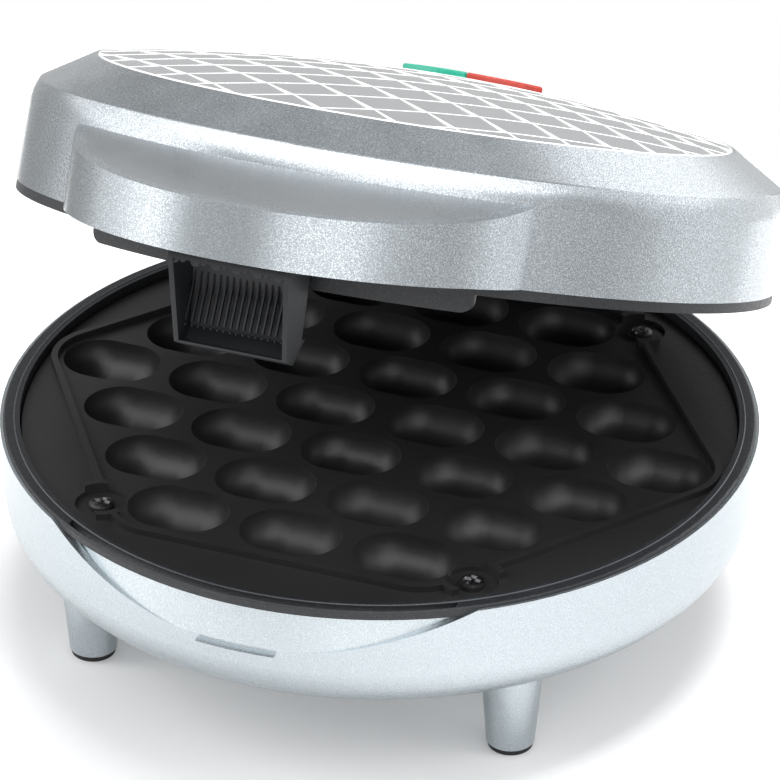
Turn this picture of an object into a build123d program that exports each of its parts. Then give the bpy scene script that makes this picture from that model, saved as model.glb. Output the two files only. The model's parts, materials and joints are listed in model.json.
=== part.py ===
from build123d import *
import math
import os

# Bubble waffle maker: a round hinged appliance with two hot plates full of egg-shaped cavities.
# Lengths are millimetres. The model is laid out with the plates' axis on Z, the floor at Z = 0,
# the handle towards -Y and the lid closed. The lid is then opened and the whole is centred.

# Overall sizes
rim_radius = 115.0
rim_height = 63.2
shell_wall = 2.8
shell_corner = 15.0
shell_draft = 1.0
floor_gap = 2.2
lid_open_angle = 24.0

# Legs and pads
leg_inset_x = 48.0
leg_inset_y = 48.5
leg_bottom_radius = 7.2
leg_top_radius = 9.4
leg_bore = 4.6
leg_bore_spare = 6.0
pad_height = 2.0
pad_radius = 6.7
pad_stem_length = 12.0

# Joint line between base and lid
bezel_height = 1.0
bezel_edge_width = 1.0
bezel_width = 5.0
bezel_seat_depth = 1.8
bezel_wall = 1.9
bezel_skirt = 7.0
lid_gap = 0.4
liner_edge = 0.3
liner_skirt = 4.0
slot_from_edge = 0.7
slot_width = 2.1
slot_from_recess_end = 6.0
lip_end_play = 2.5
lip_drop = 5.5
lip_corner = 3.5
lip_play = 0.4

# Finger recess and latch catch in the front of the base
recess_half_width = 65.8
recess_rise = 15.5
recess_depth = 4.5
recess_wall = 1.6
catch_half_width = 12.0
catch_height = 0.7
catch_proud = 1.2
catch_below_edge = 0.05

# Hot plates
plate_play = 0.5
plate_thickness = 3.0
plate_depth_below_rim = 2.2
plate_gap = 4.4
row_counts = [3, 4, 5, 6, 5, 4, 3]
cavity_edge = 4.25
cavity_web = 4.5
cavity_straight = 4.1
row_web = 1.2
cavity_centre_lift = 0.4
cavity_wall = 1.3
dome_bite = 0.5
ridge_side_over = 1.8
ridge_corner_out = 12.8
ridge_row_gap = 5.1
ridge_width = 2.0
ridge_height = 2.0
ridge_corner_radius = 16.0
ridge_flare = 5.0

# Plate fasteners
plate_screw_out = 9.6
plate_screw_back = 11.2
pocket_radius = 7.8
pocket_depth = 1.4
post_radius = 4.5
screw_radius = 2.0
screw_head_radius = 3.8
screw_head_height = 2.2
screw_length = 14.0
screw_clearance = 0.3
pilot_clearance = 0.05

# Heating element, its clamps and the reflector
element_out = 9.25
element_tube_radius = 3.2
element_gap_angle = 22.0
element_tail = 22.0
seat_gap = 0.3
boss_radius = 3.0
clamp_thickness = 1.0
clamp_width = 8.0
clamp_reach = 14.0
reflector_inset = 22.5
reflector_thickness = 0.8
reflector_drop = 5.8
small_screw_radius = 1.5
small_screw_head = 2.8
small_screw_head_height = 1.6
small_screw_length = 8.0

# Temperature parts and wiring
thermostat_radius = 7.5
thermostat_height = 6.2
fuse_radius = 2.5
fuse_length = 18.0
fuse_x = -22.0
fuse_y = 28.0
terminal_length = 28.0
terminal_width = 11.0
terminal_height = 10.0
terminal_gap = 0.6
wire_radius = 2.0
strand_radius = 0.9
harness_rise = 46.0
harness_inside = 12.0
wire_run_in = 3.0

# Hinge
hinge_behind_rim = 10.0
hinge_radius = 8.0
hinge_pin_radius = 2.5
hinge_play = 0.05
knuckle_inner_x = 12.0
knuckle_outer_x = 33.6
ear_gap = 0.4
ear_width = 10.0
hinge_block_depth = 32.0
hinge_block_height = 20.0
hinge_block_gap = 1.2
lower_rounding = 9.0
hinge_block_rounding = 3.0
pin_head_radius = 4.0
pin_head_length = 1.6

# Cord gland
gland_from_block = 9.0
gland_radius = 5.4
gland_bore = 3.6
gland_flange_radius = 7.6
gland_flange = 3.0
gland_inside = 6.0

# Lid shell
lid_lift = 4.4
lid_wall_height = 29.2
lid_slope_height = 10.2
lid_edge_inset = 0.5
lid_draft = 1.2
lid_slope_width = 16.7
lid_wall = 2.5
lid_crease = 1.2
lid_shoulder_height = 6.0
lid_shoulder_lean = 1.7
panel_play = 0.9
panel_seat = 1.5
panel_thickness = 2.0
panel_rise = 8.0
flange_width = 9.7
flange_thickness = 2.2

# Handle
handle_projection = 31.5
handle_nose_radius = 70.3
handle_front_height = 13.8
handle_root_height = 23.4
handle_scoop_sag = 0.6
handle_round = 4.5
handle_run_out = 2.0
handle_drop = 1.2
handle_wall = 2.5
cover_thickness = 2.0
cover_lift = 0.8
cover_play = 0.2
lug_width = 4.0

# Latch, in the lid's closed frame
latch_half_width = 17.7
latch_wall = 1.5
latch_barrel_radius = 3.4
latch_pin_radius = 1.5
latch_play = 0.05
latch_side_gap = 1.2
latch_play_rear = 1.4
latch_pivot_rise = 6.6
latch_pivot_forward = 8.2
latch_top_drop = 3.6
latch_roof = 2.0
latch_top_depth = 20.7
latch_bottom_depth = 9.2
latch_bottom_drop = 5.8
latch_heel_depth = 3.8
latch_heel_drop = 1.1
latch_back_drop = 2.2
latch_back_lean = 3.5
tooth_gap = 1.6
tooth_length = 2.1
tooth_below_edge = 1.9

# Indicator lamps
lens_half_length = 23.2
lens_half_width = 7.0
lens_from_panel_edge = 43.7
lens_proud = 1.8
lens_depth = 5.0
lens_play = 0.2
lamp_gap = 0.3
holder_height = 8.0
holder_wall = 1.4
holder_strut = 4.0
bulb_radius = 2.4
bulb_length = 9.0

# Derived radii and places
shell_inner_radius = rim_radius - shell_wall
bezel_outer_radius = rim_radius - bezel_edge_width
bezel_inner_radius = bezel_outer_radius - bezel_width
slot_outer_radius = bezel_outer_radius - slot_from_edge
slot_inner_radius = slot_outer_radius - slot_width
slot_half_width = recess_half_width - slot_from_recess_end
lip_half_width = slot_half_width - lip_end_play
plate_radius = bezel_inner_radius - plate_play
cavity_pitch = (2 * (plate_radius - cavity_edge) + cavity_web) / max(row_counts)
cavity_half_length = (cavity_pitch - cavity_web) / 2
cavity_half_width = cavity_half_length - cavity_straight
row_pitch = 2 * cavity_half_width + row_web
ridge_side_x = plate_radius + ridge_side_over
ridge_corner_x = cavity_pitch + ridge_corner_out
ridge_corner_y = 3 * row_pitch + cavity_half_width + ridge_row_gap
plate_screw_x = ridge_corner_x + plate_screw_out
plate_screw_y = ridge_corner_y - plate_screw_back
clamp_boss_x = 1.5 * cavity_pitch
element_ring_radius = clamp_boss_x + element_out
reflector_radius = plate_radius - reflector_inset
terminal_y = reflector_radius + terminal_gap + terminal_width / 2
leg_x = rim_radius - leg_inset_x
leg_y = rim_radius - leg_inset_y
hinge_y = rim_radius + hinge_behind_rim
ear_inner_x = knuckle_outer_x + ear_gap
ear_outer_x = ear_inner_x + ear_width
lid_bottom_radius = rim_radius - lid_edge_inset
lid_top_radius = lid_bottom_radius - lid_draft
lid_crown_radius = lid_top_radius - lid_slope_width
panel_radius = lid_crown_radius - panel_play
lens_y = panel_radius - lens_from_panel_edge
handle_reach = rim_radius + handle_projection

# Derived heights in the closed frame
plate_top = rim_height - plate_depth_below_rim
plate_under = plate_top - plate_thickness
parting = plate_top + plate_gap / 2
bezel_top = rim_height + bezel_height
bezel_seat = rim_height - bezel_seat_depth
recess_bottom = rim_height - recess_rise
liner_bottom = bezel_top + lid_gap
lid_bottom = rim_height + lid_lift
lid_crease_height = lid_bottom + lid_wall_height
lid_crown_height = lid_crease_height + lid_slope_height
panel_seat_height = lid_crown_height - panel_seat
cavity_centre = plate_top + cavity_centre_lift
dome_bottom = cavity_centre - cavity_half_width - cavity_wall
element_height = dome_bottom - seat_gap - element_tube_radius
clamp_top = element_height - element_tube_radius - seat_gap
reflector_top = clamp_top - clamp_thickness - reflector_drop
shell_inner_floor = reflector_top - reflector_thickness - small_screw_head_height - floor_gap
floor_height = shell_inner_floor - shell_wall
hinge_height = rim_height
hinge_block_top = hinge_height - hinge_radius - hinge_block_gap
hinge_block_bottom = hinge_block_top - hinge_block_height
gland_height = hinge_block_bottom + gland_from_block
dome_radius = (panel_radius ** 2 + panel_rise ** 2) / (2 * panel_rise)
dome_centre = lid_crown_height + panel_rise - dome_radius

# Derived corners of the latch in the closed frame
tooth_tip_y = -rim_radius - tooth_gap
tooth_top = recess_bottom - tooth_below_edge
latch_back_y = tooth_tip_y - tooth_length
latch_back_top_y = latch_back_y - latch_back_lean
latch_pivot_y = latch_back_y - latch_pivot_forward
latch_top_front = latch_back_y - latch_top_depth
latch_bottom_front = latch_back_y - latch_bottom_depth
latch_heel_y = latch_back_y - latch_heel_depth
latch_pivot_height = lid_bottom + latch_pivot_rise
latch_top = lid_bottom - latch_top_drop
latch_bottom = tooth_top - latch_bottom_drop
latch_heel = latch_bottom - latch_heel_drop
latch_back_low = tooth_top - latch_back_drop


def cylinder(radius, low, high, x=0.0, y=0.0):
    """Upright cylinder between two heights."""
    solid = Cylinder(radius, high - low, align=(Align.CENTER, Align.CENTER, Align.MIN))
    return Pos(x, y, low) * solid


def ring(inner, outer, low, high):
    """Flat upright ring."""
    return cylinder(outer, low, high) - cylinder(inner, low - 1, high + 1)


def block(x_low, x_high, y_low, y_high, low, high):
    """Box between two corners."""
    solid = Box(x_high - x_low, y_high - y_low, high - low, align=(Align.MIN, Align.MIN, Align.MIN))
    return Pos(x_low, y_low, low) * solid


def cross_cylinder(radius, x_low, x_high, y, z):
    """Cylinder that lies along X."""
    face = Plane.YZ * Pos(y, z) * Circle(radius)
    return Pos(x_low, 0, 0) * extrude(face, amount=x_high - x_low)


def side_prism(points, x_low, x_high):
    """Profile of (y, z) points carried along X."""
    face = Plane.YZ * make_face(Polyline(*points, close=True))
    return Pos(x_low, 0, 0) * extrude(face, amount=x_high - x_low)


def turned(points):
    """Profile of (radius, z) points turned about Z."""
    face = Plane.XZ * make_face(Polyline(*points, close=True))
    return revolve(face, Axis.Z)


def four(x, y):
    """The four mirrored places of one point."""
    return [(sx * x, sy * y) for sx in (-1, 1) for sy in (-1, 1)]


def to_lid(shape):
    """Mirror a base-side piece to the lid side of the joint line."""
    return mirror(shape, about=Plane.XY.offset(parting))


# Hot plates
def cavity_places():
    """Centres of the staggered cavities."""
    places = []
    middle = (len(row_counts) - 1) / 2
    for row, count in enumerate(row_counts):
        for column in range(count):
            places.append(((column - (count - 1) / 2) * cavity_pitch, (row - middle) * row_pitch))
    return places


def egg(half_length, half_width):
    """Round-ended oval body lying along X, centred at the cavity height."""
    straight = half_length - half_width
    corner = half_width * math.sqrt(0.5)
    right = ThreePointArc((half_length, 0), (straight + corner, corner), (straight, half_width))
    left = ThreePointArc((-straight, half_width), (-straight - corner, corner), (-half_length, 0))
    outline = [right, Line((straight, half_width), (-straight, half_width)), left,
               Line((-half_length, 0), (half_length, 0))]
    return Pos(0, 0, cavity_centre) * revolve(make_face(outline), Axis.X)


def ridge():
    """Raised six-sided line that bounds the waffle and flares outward round each screw pocket."""
    corners = [(ridge_side_x, 0), (ridge_corner_x, ridge_corner_y), (-ridge_corner_x, ridge_corner_y)]
    corners += [(-x, -y) for x, y in corners]
    outline = make_face(Polyline(*corners, close=True))
    outline = fillet(outline.vertices(), ridge_corner_radius)
    band = offset(outline, ridge_width / 2) - offset(outline, -ridge_width / 2)
    shape = extrude(band, amount=ridge_height)
    near = extrude(offset(outline, ridge_flare) - offset(outline, -ridge_width), amount=ridge_height)
    for x, y in four(plate_screw_x, plate_screw_y):
        shape += near & (Pos(x, y, 0) * ring(pocket_radius, pocket_radius + ridge_width, 0, ridge_height))
    return Pos(0, 0, plate_top) * shape


def hot_plate():
    """Cast plate with cavities, domes behind them, ridge, screw pockets and mounting bosses."""
    shape = cylinder(plate_radius, plate_under, plate_top)
    below = cylinder(plate_radius, dome_bottom - 1, plate_under + dome_bite)
    dome = egg(cavity_half_length + cavity_wall, cavity_half_width + cavity_wall) & below
    shape += [Pos(x, y, 0) * dome for x, y in cavity_places()]
    shape += ridge()
    for x, y in four(plate_screw_x, plate_screw_y):
        shape -= cylinder(pocket_radius, plate_top - pocket_depth, plate_top + ridge_height + 1, x, y)
        shape -= cylinder(screw_radius + screw_clearance, plate_under - 1, plate_top, x, y)
    shape += [cylinder(boss_radius, clamp_top, plate_under, x, y) for x, y in clamp_bosses()]
    shape += [cylinder(boss_radius, reflector_top, plate_under, x, y) for x, y in reflector_bosses()]
    hollow = egg(cavity_half_length, cavity_half_width)
    shape -= [Pos(x, y, 0) * hollow for x, y in cavity_places()]
    for x, y in clamp_bosses():
        shape -= cylinder(small_screw_radius + pilot_clearance, clamp_top - 1,
                          clamp_top + small_screw_length, x, y)
    for x, y in reflector_bosses():
        shape -= cylinder(small_screw_radius + pilot_clearance, reflector_top - 1,
                          reflector_top + small_screw_length, x, y)
    return shape


def clamp_bosses():
    """Bosses between the domes for the element clamps."""
    return four(clamp_boss_x, row_pitch * 2 / 3)


def reflector_bosses():
    """Bosses between the domes for the reflector."""
    return four(cavity_pitch, row_pitch / 3)


def screw(x, y, seat, radius, head_radius, head_height, length):
    """Round-headed screw pointing down from its seat."""
    return cylinder(head_radius, seat, seat + head_height, x, y) + cylinder(radius, seat - length, seat, x, y)


def plate_screws():
    """Four screws in the plate's pockets."""
    seat = plate_top - pocket_depth
    return [screw(x, y, seat, screw_radius, screw_head_radius, screw_head_height, screw_length)
            for x, y in four(plate_screw_x, plate_screw_y)]


def small_screws(places, seat):
    """Small screws that point up into the plate's bosses."""
    screws = []
    for x, y in places:
        head = cylinder(small_screw_head, seat - small_screw_head_height, seat, x, y)
        screws.append(head + cylinder(small_screw_radius, seat, seat + small_screw_length, x, y))
    return screws


def heating_element():
    """Sheathed ring under the cavities with two tails to the rear."""
    turn = 360 - 2 * element_gap_angle
    start = Plane.XZ * Pos(element_ring_radius, 0) * Circle(element_tube_radius)
    loop = Rot(0, 0, 90 + element_gap_angle) * revolve(start, Axis.Z, revolution_arc=turn)
    end_x = element_ring_radius * math.sin(math.radians(element_gap_angle))
    end_y = element_ring_radius * math.cos(math.radians(element_gap_angle))
    shape = Pos(0, 0, element_height) * loop
    for side in (-1, 1):
        face = Plane.XZ * Circle(element_tube_radius)
        tail = Pos(side * end_x, end_y, element_height) * extrude(face, amount=-element_tail)
        knee = Pos(side * end_x, end_y, element_height) * Sphere(element_tube_radius)
        shape += tail + knee
    return shape


def element_clamps():
    """Flat straps that hold the element up against the domes."""
    straps = []
    for x, y in clamp_bosses():
        strap = block(-boss_radius - 1, clamp_reach, -clamp_width / 2, clamp_width / 2,
                      clamp_top - clamp_thickness, clamp_top)
        strap -= cylinder(small_screw_radius + pilot_clearance, clamp_top - 2 * clamp_thickness,
                          clamp_top + 1)
        straps.append(Pos(x, y, 0) * Rot(0, 0, math.degrees(math.atan2(y, x))) * strap)
    return straps


def reflector():
    """Thin dish that sends the heat back to the plate."""
    low = reflector_top - reflector_thickness
    shape = cylinder(reflector_radius, low, reflector_top)
    rim_high = reflector_top + 3 * reflector_thickness
    shape += ring(reflector_radius - reflector_thickness, reflector_radius, low, rim_high)
    for x, y in reflector_bosses():
        shape -= cylinder(small_screw_radius + pilot_clearance, low - 1, reflector_top + 1, x, y)
    return shape


def thermostat():
    """Disc thermostat under one dome near the middle, on a small bracket."""
    top = dome_bottom - seat_gap
    body = cylinder(thermostat_radius, top - thermostat_height, top, 0, -row_pitch)
    stalk = block(-thermostat_radius / 2, thermostat_radius / 2, -row_pitch - 1, -row_pitch + 1,
                  reflector_top, top - thermostat_height)
    foot = block(-thermostat_radius / 2, thermostat_radius / 2, -row_pitch - 5, -row_pitch + 1,
                 reflector_top, reflector_top + 1)
    return body + stalk + foot


def thermal_fuse():
    """Sleeved one-shot fuse lying on the reflector in its cradle."""
    centre = reflector_top + fuse_radius + clamp_thickness
    body = cross_cylinder(fuse_radius, fuse_x - fuse_length / 2, fuse_x + fuse_length / 2, fuse_y, centre)
    cradle = block(fuse_x - fuse_length / 6, fuse_x + fuse_length / 6, fuse_y - fuse_radius,
                   fuse_y + fuse_radius, reflector_top, centre)
    return body + cradle


# Base
def base_profile(radius, low, corner, top):
    """Bowl outline with a rounded lower edge, turned to a solid."""
    points = [(0, low), (radius - shell_draft, low), (radius, top), (0, top)]
    face = make_face(Polyline(*points, close=True))
    edge = face.vertices().filter_by(lambda v: abs(v.X - radius + shell_draft) < 0.01)
    face = fillet(edge, corner)
    return revolve(Plane.XZ * face, Axis.Z)


def recess_window(extra=0.0):
    """Front-view window of the finger recess, carried through the front wall."""
    rise = rim_height - recess_bottom
    radius = (recess_half_width ** 2 + rise ** 2) / (2 * rise) + extra
    centre = recess_bottom + radius - extra
    face = Plane.XZ * Pos(0, centre) * Circle(radius)
    return extrude(face, amount=rim_radius + 10)


def recess_cone(offset_in=0.0):
    """Sloped inner side of the finger recess as a turned body."""
    slope = recess_depth / (bezel_seat - recess_bottom)
    low = recess_bottom - 12
    high = rim_height + 2
    low_radius = rim_radius + slope * (recess_bottom - low) - offset_in
    high_radius = rim_radius - slope * (high - recess_bottom) - offset_in
    return turned([(0, low), (low_radius, low), (high_radius, high), (0, high)])


def base_shell():
    """Bowl-shaped housing with legs, plate posts, hinge ears, finger recess and latch catch."""
    inner = base_profile(shell_inner_radius, shell_inner_floor, shell_corner - shell_wall, rim_height + 5)
    outer = base_profile(rim_radius, floor_height, shell_corner, rim_height)
    ears = hinge_ears() - inner
    shape = outer - inner
    shape += [leg(x, y) for x, y in four(leg_x, leg_y)]
    shape += ears
    shape += [cylinder(post_radius, floor_height + 1, plate_under, x, y)
              for x, y in four(plate_screw_x, plate_screw_y)]
    backing = (recess_window(recess_wall) - recess_cone(recess_wall)) & recess_cone(0)
    shape += backing & cylinder(rim_radius - 1, floor_height, bezel_seat)
    shape -= recess_window() - recess_cone(0)
    shape -= cylinder(bezel_outer_radius + pilot_clearance, bezel_seat, rim_height + 1)
    shape += catch_lip()
    for x, y in four(plate_screw_x, plate_screw_y):
        low = plate_top - pocket_depth - screw_length - 1
        shape -= cylinder(screw_radius + pilot_clearance, low, plate_under + 1, x, y)
    for x, y in four(leg_x, leg_y):
        shape -= cylinder(leg_bore, 0, pad_height + pad_stem_length + leg_bore_spare, x, y)
    shape -= rod((0, rim_radius / 2, gland_height), (0, 2 * rim_radius, gland_height),
                 gland_radius + pilot_clearance)
    shape -= cylinder(wire_radius + pilot_clearance, gland_height, hinge_block_top + 1, 0, hinge_y)
    return shape


def leg(x, y):
    """Tapered leg from the pad to the bowl's floor."""
    height = shell_inner_floor - pad_height
    cone = Cone(leg_bottom_radius, leg_top_radius, height, align=(Align.CENTER, Align.CENTER, Align.MIN))
    return Pos(x, y, pad_height) * cone


def foot_pad(x, y):
    """Rubber pad with a stem that plugs into the leg."""
    stem = cylinder(leg_bore - pilot_clearance, pad_height, pad_height + pad_stem_length, x, y)
    return cylinder(pad_radius, 0, pad_height, x, y) + stem


def hinge_ears():
    """Block on the rear wall with an ear at each end."""
    rear = hinge_y + hinge_radius
    shape = block(-ear_outer_x, ear_outer_x, rear - hinge_block_depth, rear,
                  hinge_block_bottom, hinge_block_top)
    shape = fillet(shape.edges().filter_by(Axis.X).group_by(Axis.Z)[0].sort_by(Axis.Y)[-1], lower_rounding)
    shape = fillet(shape.edges().filter_by(Axis.Z).group_by(Axis.Y)[-1], hinge_block_rounding)
    for side in (-1, 1):
        low_x = min(side * ear_inner_x, side * ear_outer_x)
        ear = block(low_x, low_x + ear_width, hinge_y - hinge_radius, rear,
                    hinge_block_top - 1, hinge_height)
        ear += cross_cylinder(hinge_radius, low_x, low_x + ear_width, hinge_y, hinge_height)
        shape += ear
    bore = cross_cylinder(hinge_pin_radius + hinge_play, -ear_outer_x - 1, ear_outer_x + 1,
                          hinge_y, hinge_height)
    return shape - bore


def catch_lip():
    """Small ledge under the recess edge that the latch's tooth hooks below."""
    high = recess_bottom - catch_below_edge
    low = high - catch_height
    root = rim_radius - shell_wall / 2
    tip = rim_radius + catch_proud
    band = turned([(root, low), (tip, low), (tip, low + catch_height / 2), (rim_radius, high), (root, high)])
    return band & block(-catch_half_width, catch_half_width, -2 * rim_radius, 0, low - 1, high + 1)


def base_bezel():
    """Black ring around the plate, with the slot for the lid's lip at the front."""
    shape = ring(bezel_inner_radius, bezel_outer_radius, bezel_seat, bezel_top)
    outer_edges = shape.edges().filter_by(GeomType.CIRCLE).filter_by(
        lambda e: abs(e.radius - bezel_outer_radius) < 0.01 and e.center().Z > rim_height)
    shape = fillet(outer_edges, bezel_height * 0.8)
    skirt = ring(bezel_inner_radius, bezel_inner_radius + bezel_wall, bezel_seat - bezel_skirt, bezel_seat)
    shape += skirt - block(-recess_half_width - 3, recess_half_width + 3, -rim_radius, 0, 0, bezel_seat)
    slot = ring(slot_inner_radius, slot_outer_radius, bezel_seat - 1, bezel_top + 1)
    return shape - (slot & block(-slot_half_width, slot_half_width, -rim_radius, 0, 0, bezel_top + 1))


def terminal_block():
    """Ceramic block that joins the supply to the element's wires."""
    half = terminal_length / 2
    shape = block(-half, half, terminal_y - terminal_width / 2, terminal_y + terminal_width / 2,
                  shell_inner_floor, shell_inner_floor + terminal_height)
    for step in (-1, 0, 1):
        shape -= cylinder(screw_radius, shell_inner_floor + terminal_height / 2,
                          shell_inner_floor + terminal_height + 1, step * terminal_length / 3, terminal_y)
    return shape


def cord_gland():
    """Flanged bush in the rear wall where the supply cord enters."""
    rear = hinge_y + hinge_radius
    inner = (0, shell_inner_radius - gland_inside, gland_height)
    outer = (0, rear + gland_flange, gland_height)
    shape = rod(inner, (0, rear, gland_height), gland_radius)
    shape += rod((0, rear, gland_height), outer, gland_flange_radius)
    return shape - rod(inner, outer, gland_bore)


def rod(start, end, radius):
    """Round rod between two points."""
    direction = Vector(*end) - Vector(*start)
    plane = Plane(origin=start, z_dir=direction)
    return plane * Cylinder(radius, direction.length, align=(Align.CENTER, Align.CENTER, Align.MIN))


def route(points, radius):
    """Rods joined by ball knees along a list of points."""
    rods = [rod(first, second, radius) for first, second in zip(points, points[1:])]
    knees = [Pos(*point) * Sphere(radius) for point in points[1:-1]]
    return rods[0] + rods[1:] + knees


def base_wiring():
    """Wires from the terminal block to the element's tails, and up to the hinge axis."""
    end_x = element_ring_radius * math.sin(math.radians(element_gap_angle))
    end_y = element_ring_radius * math.cos(math.radians(element_gap_angle)) + element_tail
    block_top = shell_inner_floor + terminal_height
    wires = []
    for side in (-1, 1):
        start = (side * terminal_length / 3, terminal_y, block_top)
        knee = (side * terminal_length / 3, terminal_y, element_height)
        turn = (side * end_x, end_y + wire_run_in, element_height)
        finish = (side * end_x, end_y, element_height)
        wires.append(route([start, knee, turn, finish], strand_radius))
    return wires


def hinge_harness():
    """Sleeved wires that rise from the hinge block to the hinge axis."""
    low = gland_height + gland_radius + seat_gap
    return cylinder(wire_radius, low, hinge_height - wire_radius - seat_gap, 0, hinge_y)


def hinge_pins():
    """Two headed steel pins through the ears and the lid's knuckles."""
    pins = []
    for side in (-1, 1):
        inner_x = side * (knuckle_inner_x + 1)
        outer_x = side * ear_outer_x
        head_x = side * (ear_outer_x + pin_head_length)
        pin = cross_cylinder(hinge_pin_radius, min(inner_x, outer_x), max(inner_x, outer_x),
                             hinge_y, hinge_height)
        pin += cross_cylinder(pin_head_radius, min(outer_x, head_x), max(outer_x, head_x),
                              hinge_y, hinge_height)
        pins.append(pin)
    return pins


# Lid
def lid_body(inset, low):
    """Outer form of the lid moved in by a wall, down to a given height."""
    slope = (lid_top_radius - lid_crown_radius) / lid_slope_height
    drop = inset * math.hypot(1, slope) / slope - inset / slope
    crease = (lid_top_radius - inset, lid_crease_height - drop)
    crown_z = lid_crown_height - inset
    crown_x = crease[0] - (crown_z - crease[1]) * slope
    base = lid_bottom_radius - inset
    rise = (crease[0] - base, crease[1] - low)
    share = lid_shoulder_height / rise[1]
    start = (crease[0] - rise[0] * share, crease[1] - lid_shoulder_height)
    end = (crease[0] - lid_shoulder_lean, crease[1] + lid_shoulder_lean / slope)
    outline = [Polyline((0, crown_z), (0, low), (base, low), start), TangentArc(start, end, tangent=rise),
               Polyline(end, (crown_x, crown_z), (0, crown_z))]
    face = make_face(outline)
    corner = face.vertices().filter_by(lambda v: abs(v.X - end[0]) < 0.01 and abs(v.Y - end[1]) < 0.01)
    face = fillet(corner, max(lid_crease - inset, 0.5))
    return revolve(Plane.XZ * face, Axis.Z)


def handle_body(inset, low):
    """Rounded nose whose top is hollowed towards the lid's wall."""
    nose = handle_nose_radius - inset
    centre_y = -handle_reach + handle_nose_radius
    front_z = lid_bottom + handle_front_height - inset
    root_z = lid_bottom + handle_root_height - inset
    middle = ((handle_reach + lid_top_radius) / 2, (front_z + root_z) / 2 - handle_scoop_sag)
    tail = handle_reach + handle_run_out
    arc = ThreePointArc((lid_top_radius, root_z), middle, (tail, front_z))
    outline = [Line((0, low), (0, root_z)), Line((0, root_z), (lid_top_radius, root_z)), arc,
               Line((tail, front_z), (tail, low)), Line((tail, low), (0, low))]
    top = revolve(Plane.XZ * make_face(outline), Axis.Z)
    prism = cylinder(nose, low, lid_crown_height, 0, centre_y)
    front = block(-rim_radius, rim_radius, -2 * rim_radius, centre_y, low, lid_crown_height)
    solid = prism & top & front
    crest = solid.edges().filter_by(lambda e: e.center().Y < centre_y - nose / 4).sort_by(Axis.Z)[-1]
    return fillet(crest, handle_round - inset)


def lid_shell():
    """Silver lid housing with its handle, panel flange, plate posts and hinge knuckles."""
    inner = lid_body(lid_wall, lid_bottom - 5)
    shape = lid_body(0, lid_bottom)
    handle = handle_body(0, lid_bottom - handle_drop)
    handle -= under_plane()
    shape += handle
    hollow = handle_body(handle_wall, lid_bottom - 5) - lid_body(0, lid_bottom - 5)
    shape -= hollow
    shape -= inner
    shape += ring(panel_radius - flange_width, panel_radius + 1, panel_seat_height - flange_thickness,
                  panel_seat_height)
    shape -= cylinder(panel_radius + pilot_clearance, panel_seat_height, lid_crown_height + 5)
    shape -= cylinder(panel_radius - flange_width, panel_seat_height - 5, lid_crown_height)
    posts_low = 2 * parting - plate_under
    for x, y in four(plate_screw_x, plate_screw_y):
        post = cylinder(post_radius, posts_low, panel_seat_height - flange_thickness / 2, x, y)
        shape += post & lid_body(lid_wall / 2, lid_bottom)
    for x, y in four(plate_screw_x, plate_screw_y):
        high = 2 * parting - (plate_top - pocket_depth - screw_length - 1)
        shape -= cylinder(screw_radius + pilot_clearance, posts_low - 1, high, x, y)
    shape += knuckles() - inner
    shape -= wire_hole()
    return shape


def under_plane():
    """Wedge that slopes the handle's lower edge down towards its front."""
    points = [(0, lid_bottom), (-lid_top_radius, lid_bottom), (-handle_reach, lid_bottom - handle_drop),
              (-2 * rim_radius, lid_bottom - handle_drop), (-2 * rim_radius, 0), (0, 0)]
    return side_prism(points, -rim_radius, rim_radius)


def knuckles():
    """Two hinge knuckles with the webs that join them to the lid's rear wall."""
    shape = None
    for side in (-1, 1):
        low_x = min(side * knuckle_inner_x, side * knuckle_outer_x)
        high_x = max(side * knuckle_inner_x, side * knuckle_outer_x)
        web = side_prism([(shell_inner_radius - 9, lid_bottom), (hinge_y - 6, lid_bottom),
                          (hinge_y, hinge_height + hinge_radius), (hinge_y - 5, lid_bottom + 13),
                          (shell_inner_radius - 9, lid_bottom + 17)], low_x, high_x)
        part = web + cross_cylinder(hinge_radius, low_x, high_x, hinge_y, hinge_height)
        shape = part if shape is None else shape + part
    bore = cross_cylinder(hinge_pin_radius + hinge_play, -knuckle_outer_x - 1, knuckle_outer_x + 1,
                          hinge_y, hinge_height)
    return shape - bore


def harness_points():
    """Ends of the lid's wire sleeve: near the hinge axis, and inside the rear wall."""
    rise = math.radians(harness_rise)
    start = wire_radius + seat_gap
    length = hinge_y - shell_inner_radius + harness_inside
    return [(0, hinge_y - start * math.cos(rise), hinge_height + start * math.sin(rise)),
            (0, hinge_y - length * math.cos(rise), hinge_height + length * math.sin(rise))]


def wire_hole():
    """Hole for the wire sleeve in the lid's rear wall."""
    start, end = harness_points()
    return rod(start, end, wire_radius + pilot_clearance)


def lid_harness():
    """Sleeved wires from the hinge axis into the lid."""
    start, end = harness_points()
    return rod(start, end, wire_radius)


def lid_top_panel():
    """Gently domed panel with the opening for the lamp lenses."""
    outer = Pos(0, 0, dome_centre) * Sphere(dome_radius)
    inner = Pos(0, 0, dome_centre) * Sphere(dome_radius - panel_thickness)
    shape = cylinder(panel_radius, panel_seat_height, lid_crown_height + panel_rise) & outer
    shape -= inner & cylinder(panel_radius - 3, panel_seat_height - 1, lid_crown_height + panel_rise)
    shape -= lens_body(lens_play, panel_seat_height, lid_crown_height + panel_rise + 5)
    return shape


def lens_outline(grow):
    """Pointed oval made of two equal arcs."""
    half_length = lens_half_length + grow
    half_width = lens_half_width + grow
    upper = ThreePointArc((-half_length, 0), (0, half_width), (half_length, 0))
    lower = ThreePointArc((half_length, 0), (0, -half_width), (-half_length, 0))
    return make_face([upper, lower])


def lens_body(grow, low, high):
    """Upright body of the lens outline."""
    return Pos(0, lens_y, low) * extrude(lens_outline(grow), amount=high - low)


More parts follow.
